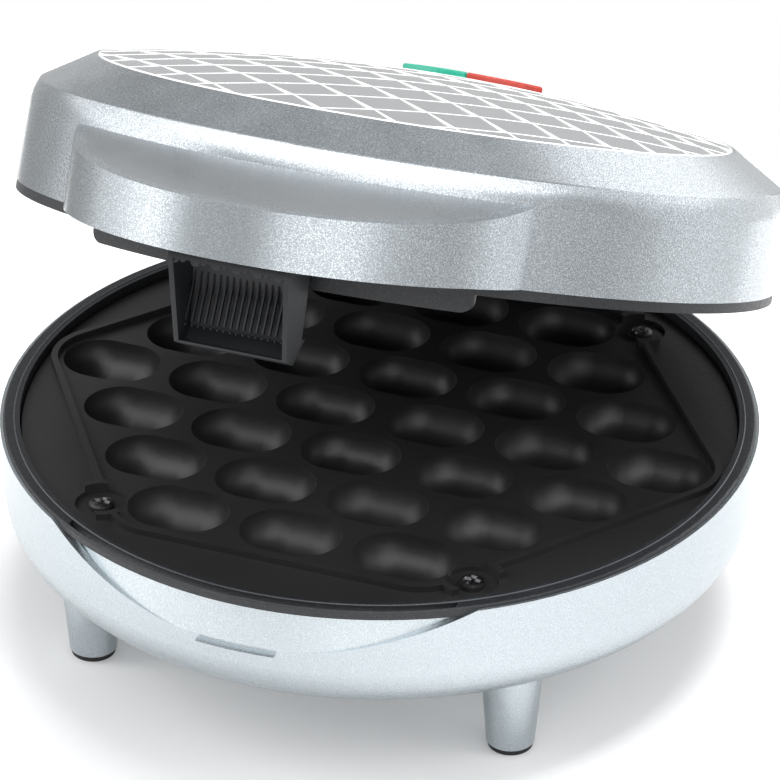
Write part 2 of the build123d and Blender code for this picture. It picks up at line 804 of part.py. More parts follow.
def lamp_lens(side):
    """One half of the domed lens pair."""
    cap = Pos(0, 0, dome_centre) * Sphere(dome_radius + lens_proud)
    top = lid_crown_height + panel_rise + lens_proud + 1
    low = dome_height(lens_y + lens_half_width) + lens_proud - lens_depth
    body = lens_body(0, low, top) & cap
    edge = lamp_gap / 2
    end = lens_half_length + 1
    if side < 0:
        return body & block(-end, -edge, 0, rim_radius, low - 1, top)
    return body & block(edge, end, 0, rim_radius, low - 1, top)


def dome_height(y):
    """Height of the panel's outer face at a distance from the lid's axis."""
    return dome_centre + math.sqrt(dome_radius ** 2 - y ** 2)


def holder_top():
    """Height of the lamp holder's rim, just below the lenses."""
    return dome_height(lens_y + lens_half_width) + lens_proud - lens_depth - seat_gap


def lamp_holder():
    """Tray under the panel that carries the two indicator bulbs."""
    top = holder_top()
    half = lens_half_length
    width = lens_half_width + holder_wall
    shape = block(-half, half, lens_y - width, lens_y + width, top - holder_height, top)
    for side in (-1, 1):
        low_x = holder_wall / 2 if side > 0 else -half + holder_wall
        high_x = half - holder_wall if side > 0 else -holder_wall / 2
        shape -= block(low_x, high_x, lens_y - width + holder_wall, lens_y + width - holder_wall,
                       top - holder_height + holder_wall, top + 1)
    for end in (-1, 1):
        low_x = min(end * half, end * (half + holder_strut))
        strut = block(low_x, low_x + holder_strut, lens_y - holder_strut, lens_y + holder_strut,
                      top - holder_wall, dome_height(lens_y))
        shape += strut & Pos(0, 0, dome_centre) * Sphere(dome_radius - panel_thickness)
    return shape


def indicator_bulb(side):
    """Small glow lamp lying in the holder."""
    centre = holder_top() - holder_height + holder_wall + bulb_radius
    middle = side * lens_half_length / 2
    return cross_cylinder(bulb_radius, middle - bulb_length / 2, middle + bulb_length / 2, lens_y, centre)


def lid_liner():
    """Black ring under the lid's edge, with the hanging lip at the front."""
    inner = bezel_inner_radius
    shape = ring(inner, lid_bottom_radius - liner_edge, liner_bottom, lid_bottom)
    shape += ring(inner, inner + bezel_wall, lid_bottom, lid_bottom + liner_skirt)
    lip = ring(slot_inner_radius + lip_play, slot_outer_radius - lip_play, liner_bottom - lip_drop,
               liner_bottom)
    window = Plane.XZ * Pos(0, liner_bottom) * RectangleRounded(2 * lip_half_width, 2 * lip_drop, lip_corner)
    shape += lip & extrude(window, amount=rim_radius + 5)
    return shape


def handle_cover():
    """Black floor of the handle with the latch's opening and its pin lugs."""
    low = lid_bottom - handle_drop / 2 + cover_lift
    high = low + cover_thickness
    centre_y = -handle_reach + handle_nose_radius
    nose = handle_nose_radius - handle_wall - cover_play
    shape = cylinder(nose, low, high, 0, centre_y)
    shape &= block(-rim_radius, rim_radius, -2 * rim_radius, centre_y - nose / 4, low, high)
    shape -= cylinder(lid_bottom_radius + cover_play, low - 1, high + 1)
    half = latch_half_width + latch_side_gap
    shape -= block(-half, half, -handle_reach, latch_back_y + latch_play_rear, low - 1, high + 1)
    for side in (-1, 1):
        low_x = min(side * half, side * (half + lug_width))
        shape += block(low_x, low_x + lug_width, latch_pivot_y - lug_width, latch_pivot_y + lug_width,
                       low, latch_pivot_height)
        shape += cross_cylinder(lug_width, low_x, low_x + lug_width, latch_pivot_y, latch_pivot_height)
    end = half + lug_width + 1
    return shape - cross_cylinder(latch_pin_radius + latch_play, -end, end, latch_pivot_y, latch_pivot_height)


def latch_pin():
    """Steel pin that the latch turns on."""
    half = latch_half_width + latch_side_gap + lug_width
    return cross_cylinder(latch_pin_radius, -half, half, latch_pivot_y, latch_pivot_height)


def latch():
    """Hanging latch: an open-fronted box with a tooth at its back and a barrel at its top."""
    half = latch_half_width
    outer = [(latch_top_front, latch_top + latch_roof), (latch_top_front, latch_top),
             (latch_bottom_front, latch_bottom), (latch_heel_y, latch_heel),
             (latch_back_y, latch_back_low), (latch_back_top_y, latch_top + latch_roof)]
    open_front = latch_top_front - latch_half_width
    hollow = [(open_front, latch_top), (open_front + latch_wall, latch_bottom + latch_wall),
              (latch_heel_y - latch_wall / 2, latch_heel + latch_wall),
              (latch_back_y - latch_wall, latch_back_low + latch_wall / 2),
              (latch_back_top_y - latch_wall, latch_top)]
    shape = side_prism(outer, -half, half)
    shape -= side_prism(hollow, -half + latch_wall, half - latch_wall)
    tooth_low = tooth_top - tooth_length
    tooth_root = latch_back_y - latch_wall
    tooth = [(tooth_root, tooth_top), (tooth_tip_y, tooth_top), (tooth_tip_y, tooth_top - latch_wall / 3),
             (latch_back_y, tooth_low), (tooth_root, tooth_low)]
    shape += side_prism(tooth, -half, half)
    shape += block(-half, half, latch_pivot_y - latch_barrel_radius, latch_pivot_y + latch_barrel_radius,
                   latch_top + latch_roof / 2, latch_pivot_height)
    shape += cross_cylinder(latch_barrel_radius, -half, half, latch_pivot_y, latch_pivot_height)
    return shape - cross_cylinder(latch_pin_radius + latch_play, -half - 1, half + 1,
                                  latch_pivot_y, latch_pivot_height)


def lid_wiring():
    """Wires from the rear of the lid to the upper element's tails."""
    end_x = element_ring_radius * math.sin(math.radians(element_gap_angle))
    end_y = element_ring_radius * math.cos(math.radians(element_gap_angle)) + element_tail
    height = 2 * parting - element_height
    inside = harness_points()[1]
    rise = math.radians(harness_rise)
    beyond = (inside[1] - wire_run_in * math.cos(rise), inside[2] + wire_run_in * math.sin(rise))
    wires = []
    for side in (-1, 1):
        start = (side * wire_radius / 2, inside[1], inside[2])
        knee = (side * wire_radius / 2, beyond[0], beyond[1])
        turn = (side * end_x, end_y + wire_run_in, height)
        finish = (side * end_x, end_y, height)
        wires.append(route([start, knee, turn, finish], strand_radius))
    return wires


def heating_set(prefix, place):
    """The plate and everything fastened to it, placed for the base or the lid."""
    pieces = {
        "plate": hot_plate(),
        "plate_screws": plate_screws(),
        "heating_element": heating_element(),
        "element_clamps": element_clamps(),
        "clamp_screws": small_screws(clamp_bosses(), clamp_top - clamp_thickness),
        "reflector": reflector(),
        "reflector_screws": small_screws(reflector_bosses(), reflector_top - reflector_thickness),
        "thermostat": thermostat(),
        "thermal_fuse": thermal_fuse(),
    }
    return {prefix + "_" + name: [place(s) for s in as_list(shape)] for name, shape in pieces.items()}


def as_list(shape):
    """A list of shapes, whether one or many were given."""
    return shape if isinstance(shape, list) else [shape]


def open_lid(shape):
    """Swing a lid piece from closed to the pose of the model."""
    return shape.rotate(Axis((0, hinge_y, hinge_height), (1, 0, 0)), -lid_open_angle)


def base_pieces():
    """Every piece of the base, by name."""
    pieces = {
        "base_shell": base_shell(),
        "base_bezel": base_bezel(),
        "hinge_pins": hinge_pins(),
        "terminal_block": terminal_block(),
        "cord_gland": cord_gland(),
        "base_wiring": base_wiring(),
        "hinge_harness": hinge_harness(),
    }
    corners = {"front_left": (-1, -1), "front_right": (1, -1), "rear_left": (-1, 1), "rear_right": (1, 1)}
    for name, (sx, sy) in corners.items():
        pieces[name + "_foot_pad"] = foot_pad(sx * leg_x, sy * leg_y)
    pieces = {name: as_list(shape) for name, shape in pieces.items()}
    pieces.update(heating_set("lower", lambda shape: shape))
    return pieces


def lid_pieces():
    """Every piece that swings with the lid, by name, still closed."""
    pieces = {
        "lid_shell": lid_shell(),
        "lid_top_panel": lid_top_panel(),
        "lid_liner": lid_liner(),
        "handle_cover": handle_cover(),
        "latch_pin": latch_pin(),
        "latch": latch(),
        "green_lamp_lens": lamp_lens(-1),
        "red_lamp_lens": lamp_lens(1),
        "lamp_holder": lamp_holder(),
        "green_indicator_bulb": indicator_bulb(-1),
        "red_indicator_bulb": indicator_bulb(1),
        "lid_harness": lid_harness(),
        "lid_wiring": lid_wiring(),
    }
    pieces = {name: as_list(shape) for name, shape in pieces.items()}
    pieces.update(heating_set("upper", to_lid))
    return pieces


def main():
    """Build every piece, open the lid, centre the model and write the parts."""
    pieces = base_pieces()
    for name, shapes in lid_pieces().items():
        pieces[name] = [open_lid(shape) for shape in shapes]
    whole = Compound(children=[Compound(children=shapes) for shapes in pieces.values()])
    bounds = whole.bounding_box()
    shift = Pos(-bounds.center().X, -bounds.center().Y, -bounds.min.Z)
    os.makedirs("parts", exist_ok=True)
    for name, shapes in pieces.items():
        solids = [solid for shape in shapes for solid in shape.solids()]
        moved = [shift * solid for solid in solids]
        export_step(moved[0] if len(moved) == 1 else Compound(children=moved), f"parts/{name}.step")
    print("centre shift", -bounds.center().X, -bounds.center().Y, -bounds.min.Z)


main()
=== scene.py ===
import json
import math

import bmesh
import bpy
from bpy.props import FloatProperty, FloatVectorProperty, IntProperty, PointerProperty
from mathutils import Matrix, Vector


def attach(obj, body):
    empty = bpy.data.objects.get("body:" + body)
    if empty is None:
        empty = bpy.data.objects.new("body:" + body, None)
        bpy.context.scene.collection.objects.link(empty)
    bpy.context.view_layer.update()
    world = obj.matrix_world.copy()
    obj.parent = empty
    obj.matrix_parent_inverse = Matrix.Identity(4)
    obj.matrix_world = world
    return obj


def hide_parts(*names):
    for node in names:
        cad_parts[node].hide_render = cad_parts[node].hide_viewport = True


bl_info = {
    "name": "Bubble waffle maker",
    "version": (1, 0, 0),
    "blender": (4, 5, 0),
    "location": "3D View > Sidebar > Waffle maker",
    "description": "Finishes, fine pieces and stage of a bubble waffle maker",
    "category": "Object",
}

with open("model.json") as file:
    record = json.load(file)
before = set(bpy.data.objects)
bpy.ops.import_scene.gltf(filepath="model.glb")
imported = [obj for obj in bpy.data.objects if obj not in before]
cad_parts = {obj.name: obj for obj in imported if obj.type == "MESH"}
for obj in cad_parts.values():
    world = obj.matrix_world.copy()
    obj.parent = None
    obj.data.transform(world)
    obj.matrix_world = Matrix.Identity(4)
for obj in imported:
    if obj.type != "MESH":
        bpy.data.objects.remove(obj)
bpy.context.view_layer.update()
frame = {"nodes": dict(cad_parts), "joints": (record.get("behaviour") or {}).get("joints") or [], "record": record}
NODES = frame["nodes"]
JOINTS = {joint["name"]: joint for joint in frame["joints"]}
HINGE = Vector(JOINTS["lid_hinge"]["pos_m"])
LID_ANGLE = math.radians(-JOINTS["lid_hinge"]["range_deg"][0])
# Angles between faces: shaded as an edge above SHARP, rounded above ROUNDED, merged below FLAT
SHARP = math.radians(32)
ROUNDED = math.radians(35)
FLAT = math.radians(1)
# Distances within which two points are one and a point lies on a cutting plane
SAME_POINT = 2e-6
ON_PLANE = 1e-7
# Numbers of flat sides that stand for round outlines
PANEL_SIDES = 96
SCREW_SIDES = 32
SCALLOP_SIDES = 24
BEAD_SIDES = 10
BEAD_STEPS = 180
UPRIGHT = Matrix.Rotation(math.radians(90), 4, "X")
# Widths of the rounded edges of moulded pieces, rubber pads and screw shanks
MOULDED_EDGE = 0.0006
PAD_EDGE = 0.0005
SHANK_EDGE = 0.0002


# Sizes and colours that a user would change
def length(name, description, default):
    """A length property in metres."""
    return FloatProperty(name=name, description=description, default=default, unit="LENGTH", precision=5)


def colour(name, description, default):
    """A colour property."""
    return FloatVectorProperty(name=name, description=description, default=default, size=3,
                               subtype="COLOR", min=0.0, max=1.0)


def share(name, description, default):
    """A share from 0 to 1."""
    return FloatProperty(name=name, description=description, default=default, subtype="FACTOR",
                         min=0.0, max=1.0)


def number(name, description, default):
    """A count."""
    return IntProperty(name=name, description=description, default=default, min=1)


def factor(name, description, default):
    """A plain positive value."""
    return FloatProperty(name=name, description=description, default=default, min=0.0)


def angle(name, description, degrees):
    """An angle property, its default given in degrees."""
    return FloatProperty(name=name, description=description, default=math.radians(degrees), subtype="ANGLE")


class WafflePanelSizes(bpy.types.PropertyGroup):
    """The domed top panel and its raised diamond lines, in the closed lid's frame."""
    axis_to_hinge: length("Axis to hinge", "From the plates' axis to the hinge pin", 0.125)
    radius: length("Radius", "Outer radius of the panel", 0.0956)
    crown: length("Crown height", "Height of the panel's edge above the table, lid closed", 0.107)
    rise: length("Dome rise", "Rise of the dome at its middle", 0.008)
    seat: length("Seat height", "Height of the panel's under edge, lid closed", 0.1056)
    rim: length("Rim width", "Width of the raised rim", 0.0007)
    rim_lift: length("Rim height", "Height of the raised rim", 0.0002)
    step_x: length("Half diamond across", "Half of a diamond's width", 0.0122)
    step_y: length("Half diamond along", "Half of a diamond's length", 0.0105)
    count: number("Diamonds", "Diamonds along each side of the field", 20)
    start_x: length("Pattern start across", "Place of one crossing across the lid", 0.00295)
    start_y: length("Pattern start along", "Place of one crossing along the lid", -0.0087)
    line: length("Line width", "Half of the width of a raised line", 0.00032)
    shallow: length("Shallow side", "Depth of a diamond at its rear and left corners", 0.00012)
    deep: length("Deep side", "Depth of a diamond at its front and right corners", 0.00075)


class WaffleLatchSizes(bpy.types.PropertyGroup):
    """The mouldings inside the hanging latch, in the closed lid's frame."""
    taper: share("Taper", "Share of its width that the latch loses from top to bottom", 0.06)
    roof: length("Roof height", "Height of the hollow's roof above the table, lid closed", 0.0640)
    foot: length("Foot height", "Height of the latch's lowest edge, lid closed", 0.0389)
    front: length("Front", "Place of the roof's front edge along the closed lid", -0.1380)
    half_width: length("Half width", "Half of the width of the hollow", 0.0155)
    wall: length("Rear wall", "Place of the middle of the rear wall along the closed lid", -0.1218)
    wall_height: length("Rear wall height", "Height of the middle of the rear wall, lid closed", 0.0536)
    rib_pitch: length("Rib pitch", "Distance from rib to rib on the rear wall", 0.0019)
    rib: length("Rib width", "Width of one rib", 0.0005)
    scallop_pitch: length("Scallop pitch", "Distance from scallop to scallop under the roof", 0.0061)
    scallop: length("Scallop radius", "Radius of one scallop", 0.0014)
    scallops: number("Scallops", "Number of scallops", 6)
    scallop_depth: length("Scallop depth", "Thickness of a scallop", 0.0012)
    small_shift: factor("Small scallop place", "Radii from a scallop to the smaller one beside it", 1.7)
    small_size: share("Small scallop size", "Radius of the smaller scallop against the larger", 0.6)
    lean: angle("Rear wall lean", "Lean of the rear wall from upright, lid closed", 9.7)
    rib_back: length("Rib back", "From the wall's middle forward to the ribs' back", 0.0010)
    rib_front: length("Rib front", "From the wall's middle forward to the ribs' front", 0.0022)
    rib_down: length("Rib foot", "From the wall's middle down to the ribs' foot", 0.0080)
    rib_up: length("Rib head", "From the wall's middle up to the ribs' head", 0.0090)
    pip: length("Pip radius", "Radius of a small round stud by the hollow's floor", 0.00045)
    pip_front: length("Pip place", "From the wall's middle forward to the pips", 0.0017)
    pip_down: length("Pip drop", "From the wall's middle down to the pips", 0.0092)


class WaffleScrewSizes(bpy.types.PropertyGroup):
    """The round-headed screws in the hot plates, in the closed maker's frame."""
    across: length("Place across", "From the plates' axis to each screw across the maker", 0.0579)
    along: length("Place along", "From the plates' axis to each screw along the maker", 0.0773)
    seat: length("Seat height", "Height of the head's seat in the lower plate", 0.0596)
    parting: length("Joint height", "Height of the plane half way between the closed plates", 0.0632)
    head: length("Head radius", "Radius of the screw's head", 0.0037)
    height: length("Head height", "Height of the screw's head", 0.0021)
    slot_length: length("Slot length", "Length of each arm of the cross slot", 0.0044)
    slot_width: length("Slot width", "Width of the cross slot", 0.0010)
    slot_depth: length("Slot depth", "Depth of the cross slot", 0.0008)
    fall: share("Edge fall", "Share of its height that the head loses at its edge", 0.32)


class WaffleBezelSizes(bpy.types.PropertyGroup):
    """The thin bead on the base's black ring."""
    radius: length("Bead radius", "Radius of the bead's circle", 0.1106)
    height: length("Bead height", "Height of the bead's middle above the table", 0.06415)
    bead: length("Bead thickness", "Radius of the bead's section", 0.00028)


class WaffleHandleSizes(bpy.types.PropertyGroup):
    """The smooth scoop on top of the handle, in the closed maker's frame."""
    middle: length("Nose middle", "Place of the handle's nose centre along the maker", -0.0762)
    nose: length("Nose radius", "Radius of the handle's nose", 0.0703)
    edge: length("Edge width", "From the nose's outline in to the scoop's edge", 0.0034)
    wall: length("Wall radius", "Radius at which the scoop meets the lid's wall", 0.1138)
    low: length("Lowest height", "Height above which the scoop lies", 0.0785)
    blend: length("Blend width", "Half of the width over which the scoop's finish begins", 0.00015)


class WaffleColours(bpy.types.PropertyGroup):
    """Colours of the finishes."""
    # The base's silver is set about a twentieth darker than the lid's same paint: painted shade
    base_paint_with_shade: colour("Base paint", "Silver paint of the base", (0.515, 0.565, 0.595))
    lid_paint: colour("Lid paint", "Silver paint of the lid", (0.55, 0.595, 0.63))
    scoop: colour("Scoop", "Smooth grey of the handle's scoop", (0.45, 0.47, 0.485))
    trim: colour("Trim", "Black trim round the plates", (0.013, 0.014, 0.016))
    # Glints are bright specks painted into the black trim's colour: painted highlights
    glint: colour("Glints", "Bright specks in the black trim", (0.05, 0.054, 0.06))
    coating: colour("Plate coating", "Non-stick coating", (0.017, 0.017, 0.0175))
    latch: colour("Latch", "Charcoal latch", (0.011, 0.012, 0.014))
    panel: colour("Panel", "Grey of the top panel", (0.26, 0.265, 0.27))
    # The lines' near-white stands for the highlights on the raised ridges: a painted highlight
    lines: colour("Panel lines", "White of the panel's raised lines and rim", (0.93, 0.93, 0.93))
    rubber: colour("Pads", "Rubber pads", (0.012, 0.012, 0.013))
    screw: colour("Plate screws", "Dark steel of the plates' screws", (0.13, 0.13, 0.135))
    green: colour("Green lens", "Green lamp lens", (0.020, 0.33, 0.22))
    red: colour("Red lens", "Red lamp lens", (0.56, 0.055, 0.035))


class WaffleStage(bpy.types.PropertyGroup):
    """Camera, floor and light."""
    azimuth: angle("Azimuth", "Camera azimuth", 20.67)
    elevation: angle("Elevation", "Camera elevation", 30.51)
    roll: angle("Roll", "Camera roll", 0.44)
    distance: length("Distance", "From the camera to the point it looks at", 1.34636)
    lens: factor("Lens", "Focal length in millimetres", 205.41)
    sensor: factor("Sensor", "Width of the sensor in millimetres", 36.0)
    target: FloatVectorProperty(name="Target", description="Point the camera looks at", size=3,
                                unit="LENGTH", default=(0.00327, -0.007137, 0.07025), precision=5)
    floor_size: length("Floor size", "Side of the floor", 0.62)
    floor_colour: colour("Floor colour", "Pale floor", (0.76, 0.76, 0.765))
    floor_white: share("Floor white", "White added to the floor as the eye sees it", 0.19)
    floor_mirrored: share("Mirrored white", "White added to the floor in reflections", 0.12)
    room_light: factor("Room light", "Strength of the studio's walls and ceiling", 1.35)
    room_fill: factor("Room fill", "Strength of the studio's light on dull surfaces", 0.55)


# Grey levels of the studio's horizon and of its walls, by azimuth in degrees
HORIZON = ((-180, 0.50), (-150, 0.42), (-122, 0.26), (-106, 0.34), (-88, 0.80), (-54, 1.40), (38, 1.40),
           (60, 0.55), (88, 0.46), (112, 0.85), (140, 0.80), (160, 0.80), (172, 0.90), (180, 0.70))
WALLS = ((-180, 0.60), (-170, 0.30), (-130, 0.26), (-110, 0.90), (-88, 1.35), (-60, 1.55), (-38, 0.36),
         (-8, 0.30), (14, 1.10), (38, 1.15), (58, 0.55), (86, 0.34), (108, 0.80), (124, 1.25), (168, 1.40),
         (180, 1.0))
# Grey levels of its ceiling from the back, 0, to the front, 1
CEILING = ((0.0, 0.28), (0.22, 0.34), (0.38, 0.60), (0.5, 1.1), (0.62, 1.9), (1.0, 2.1))
# Heights in the sky, 0 level and 1 overhead, over which one part of the studio gives way to the next
ABOVE_HORIZON = (0.02, 0.12)
ABOVE_WALLS = (0.50, 0.62)
# Softboxes: name, place, width, height and watts
SOFTBOXES = (("overhead_softbox", (0.15, 0.38, 2.2), 1.1, 1.1, 60.0),
             ("left_softbox", (-1.3, -0.5, 0.9), 0.6, 0.9, 7.0),
             ("right_softbox", (1.3, 0.1, 0.9), 0.6, 0.9, 6.0))
LAMP_AIM = Vector((0, 0, 0.1))

GROUPS = (WafflePanelSizes, WaffleLatchSizes, WaffleScrewSizes, WaffleBezelSizes, WaffleHandleSizes,
          WaffleColours, WaffleStage)
SETTINGS = ("waffle_panel", "waffle_latch", "waffle_screws", "waffle_bezel", "waffle_handle",
            "waffle_colours", "waffle_stage")


# Making pieces
def base_place(scene):
    """Takes the closed maker's own frame, with the plates' axis on Z, to the base's place."""
    return Matrix.Translation((0, HINGE.y - scene.waffle_panel.axis_to_hinge, 0))


def lid_place(scene):
    """Takes the closed maker's own frame to the open lid."""
    swing = Matrix.Translation(HINGE) @ Matrix.Rotation(-LID_ANGLE, 4, "X") @ Matrix.Translation(-HINGE)
    return swing @ base_place(scene)


def add_piece(name, bm, finish, body, replaced=(), second=None):
    """Turns a bmesh into a piece that rides on its body and wears its finish."""
    for face in bm.faces:
        face.smooth = True
    for edge in bm.edges:
        edge.smooth = edge.calc_face_angle(0.0) < SHARP
    mesh = bpy.data.meshes.new(name)
    bm.to_mesh(mesh)
    bm.free()
    mesh.materials.append(finish)
    if second is not None:
        mesh.materials.append(second)
    piece = bpy.data.objects.new(name, mesh)
    bpy.context.scene.collection.objects.link(piece)
    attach(piece, body)
    if replaced:
        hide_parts(*replaced)
    return piece


def softened(node, width, segments=3):
    """A merged copy of a CAD node's mesh with its sharp edges rounded."""
    bm = bmesh.new()
    bm.from_mesh(NODES[node].data)
    bmesh.ops.remove_doubles(bm, verts=bm.verts, dist=SAME_POINT)
    bmesh.ops.dissolve_limit(bm, angle_limit=FLAT, verts=bm.verts, edges=bm.edges)
    sharp = [e for e in bm.edges if len(e.link_faces) == 2 and e.calc_face_angle(0.0) > ROUNDED]
    bmesh.ops.bevel(bm, geom=sharp, offset=width, offset_type="OFFSET", affect="EDGES", segments=segments,
                    profile=0.5, material=-1, clamp_overlap=True)
    bmesh.ops.triangulate(bm, faces=[f for f in bm.faces if len(f.verts) > 4])
    return bm


def box(bm, low, high):
    """A box between two corners, added to a bmesh."""
    made = bmesh.ops.create_cube(bm, size=1.0)["verts"]
    size = Vector(high) - Vector(low)
    bmesh.ops.scale(bm, vec=size, verts=made)
    bmesh.ops.translate(bm, vec=Vector(low) + size / 2, verts=made)
    return made


def dome_height(sizes, x, y):
    """Height of the panel's dome above the table, lid closed."""
    sphere = (sizes.radius ** 2 + sizes.rise ** 2) / (2 * sizes.rise)
    return sizes.crown + sizes.rise - sphere + math.sqrt(sphere ** 2 - x * x - y * y)


def diamond_field(sizes):
    """Flat field of diamonds with raised lines between them."""
    bm = bmesh.new()
    bmesh.ops.create_grid(bm, x_segments=sizes.count, y_segments=sizes.count, size=sizes.count / 2)
    slant = Matrix(((sizes.step_x, sizes.step_x, 0, sizes.start_x),
                    (-sizes.step_y, sizes.step_y, 0, sizes.start_y), (0, 0, 1, 0), (0, 0, 0, 1)))
    bmesh.ops.transform(bm, matrix=slant, verts=bm.verts)
    diamonds = list(bm.faces)
    lines = bmesh.ops.inset_individual(bm, faces=diamonds, thickness=sizes.line, use_even_offset=True)
    # The line faces take the second finish, whose near-white is a painted highlight
    for face in lines["faces"]:
        face.material_index = 1
    for face in diamonds:
        middle = face.calc_center_median()
        for vert in face.verts:
            across = (vert.co.x - middle.x) / sizes.step_x
            ahead = (middle.y - vert.co.y) / sizes.step_y
            vert.co.z -= sizes.shallow + (sizes.deep - sizes.shallow) * (1 + across + ahead) / 2
    return bm


def clip_round(bm, radius, sides):
    """Cuts a flat field down to a round outline."""
    for side in range(sides):
        turn = 2 * math.pi * side / sides
        outward = Vector((math.cos(turn), math.sin(turn), 0))
        everything = list(bm.verts) + list(bm.edges) + list(bm.faces)
        bmesh.ops.bisect_plane(bm, geom=everything, dist=ON_PLANE, plane_co=outward * radius,
                               plane_no=outward, clear_outer=True)


def rim_and_skirt(bm, sizes, inner):
    """Carries the field's outline out over a raised rim and down to a flat underside."""
    edges = [e for e in bm.edges if e.is_boundary]
    top = dome_height(sizes, inner, 0)
    lift = sizes.rim_lift
    steps = [(inner + lift / 2, top + lift / 2), (inner + lift, top + lift),
             (sizes.radius - lift, top + lift / 2), (sizes.radius, top - lift), (sizes.radius, sizes.seat)]
    # The rim and skirt faces take that second finish too, with its painted highlight
    for radius, height in steps:
        made = bmesh.ops.extrude_edge_only(bm, edges=edges)["geom"]
        verts = [v for v in made if isinstance(v, bmesh.types.BMVert)]
        edges = [e for e in made if isinstance(e, bmesh.types.BMEdge)]
        for vert in verts:
            flat = Vector((vert.co.x, vert.co.y, 0)).normalized() * radius
            vert.co = Vector((flat.x, flat.y, height))
            for face in vert.link_faces:
                face.material_index = 1
    bmesh.ops.edgeloop_fill(bm, edges=edges)
    bmesh.ops.recalc_face_normals(bm, faces=bm.faces)


class WAFFLE_OT_top_panel(bpy.types.Operator):
    """Make the domed top panel with its raised diamond lines"""
    bl_idname = "waffle.top_panel"
    bl_label = "Top panel"

    def execute(self, context):
        sizes = context.scene.waffle_panel
        inner = sizes.radius - sizes.rim
        bm = diamond_field(sizes)
        clip_round(bm, inner, PANEL_SIDES)
        for vert in bm.verts:
            vert.co.z += dome_height(sizes, vert.co.x, vert.co.y)
        rim_and_skirt(bm, sizes, inner)
        bmesh.ops.transform(bm, matrix=lid_place(context.scene), verts=bm.verts)
        colours = context.scene.waffle_colours
        # The lines and rim wear the second finish, a near-white painted highlight
        piece = add_piece("quilted_top_panel", bm, panel_finish(colours), "lid",
                          ["lid_top_panel"], line_highlight_finish(colours))
        for face in piece.data.polygons:
            face.use_smooth = False
        return {"FINISHED"}


class WAFFLE_OT_latch_details(bpy.types.Operator):
    """Make the latch with softened edges, and its ribs, scallops and pips"""
    bl_idname = "waffle.latch_details"
    bl_label = "Latch"

    def execute(self, context):
        scene = context.scene
        sizes = scene.waffle_latch
        colours = scene.waffle_colours
        finish = latch_finish("latch_plastic", tuple(colours.latch))
        place = lid_place(scene)
        shell = softened("latch", MOULDED_EDGE)
        bmesh.ops.transform(shell, matrix=place.inverted(), verts=shell.verts)
        for vert in shell.verts:
            fallen = max(0.0, (sizes.roof - vert.co.z) / (sizes.roof - sizes.foot))
            vert.co.x *= 1 - sizes.taper * fallen
        bmesh.ops.transform(shell, matrix=place, verts=shell.verts)
        add_piece("latch_box", shell, finish, "latch", ["latch"])
        bm = bmesh.new()
        ribs_and_pips(bm, sizes)
        bmesh.ops.transform(bm, matrix=place, verts=bm.verts)
        # The ribs are painted a tenth lighter than the latch: painted light on the same plastic
        rib_painted_light = latch_finish("latch_rib_painted_light", scaled(colours.latch, 1.1))
        add_piece("latch_ribs", bm, rib_painted_light, "latch")
        bm = bmesh.new()
        scallops(bm, sizes)
        bmesh.ops.transform(bm, matrix=place, verts=bm.verts)
        # The scallops are painted three and a half times lighter than the latch: painted highlight on the same
        # plastic
        scallop_painted_highlight = latch_finish("latch_scallop_painted_highlight", scaled(colours.latch, 3.5))
        add_piece("latch_scallops", bm, scallop_painted_highlight, "latch")
        return {"FINISHED"}


def ribs_and_pips(bm, sizes):
    """Fine upright ribs on the latch's rear wall with a round pip at the foot of each."""
    count = int(sizes.half_width / sizes.rib_pitch)
    lean = Matrix.Translation((0, sizes.wall, sizes.wall_height)) @ Matrix.Rotation(-sizes.lean, 4, "X")
    for step in range(-count, count + 1):
        middle = step * sizes.rib_pitch
        rib = box(bm, (middle - sizes.rib / 2, -sizes.rib_front, -sizes.rib_down),
                  (middle + sizes.rib / 2, -sizes.rib_back, sizes.rib_up))
        bmesh.ops.transform(bm, matrix=lean, verts=rib)
        pip = bmesh.ops.create_icosphere(bm, subdivisions=2, radius=sizes.pip)["verts"]
        bmesh.ops.translate(bm, vec=(middle, -sizes.pip_front, -sizes.pip_down), verts=pip)
        bmesh.ops.transform(bm, matrix=lean, verts=pip)


def scallops(bm, sizes):
    """Row of round scallops under the front of the latch's roof, each with a smaller one beside it."""
    for step in range(sizes.scallops):
        middle = (step - (sizes.scallops - 1) / 2) * sizes.scallop_pitch - sizes.scallop / 2
        small = (sizes.small_shift * sizes.scallop, sizes.small_size * sizes.scallop)
        for shift, radius in ((0.0, sizes.scallop), small):
            made = bmesh.ops.create_cone(bm, cap_ends=True, segments=SCALLOP_SIDES, radius1=radius,
                                         radius2=radius, depth=sizes.scallop_depth)["verts"]
            place = Matrix.Translation((middle + shift, sizes.front, sizes.roof))
            bmesh.ops.transform(bm, matrix=place @ UPRIGHT, verts=made)


def repeated(bm, matrices):
    """Copies of a bmesh at each matrix, as one bmesh."""
    source = bpy.data.meshes.new("source")
    whole = bmesh.new()
    for matrix in matrices:
        copy = bm.copy()
        bmesh.ops.transform(copy, matrix=matrix, verts=copy.verts)
        copy.to_mesh(source)
        whole.from_mesh(source)
        copy.free()
    bm.free()
    bpy.data.meshes.remove(source)
    bmesh.ops.recalc_face_normals(whole, faces=whole.faces)
    return whole


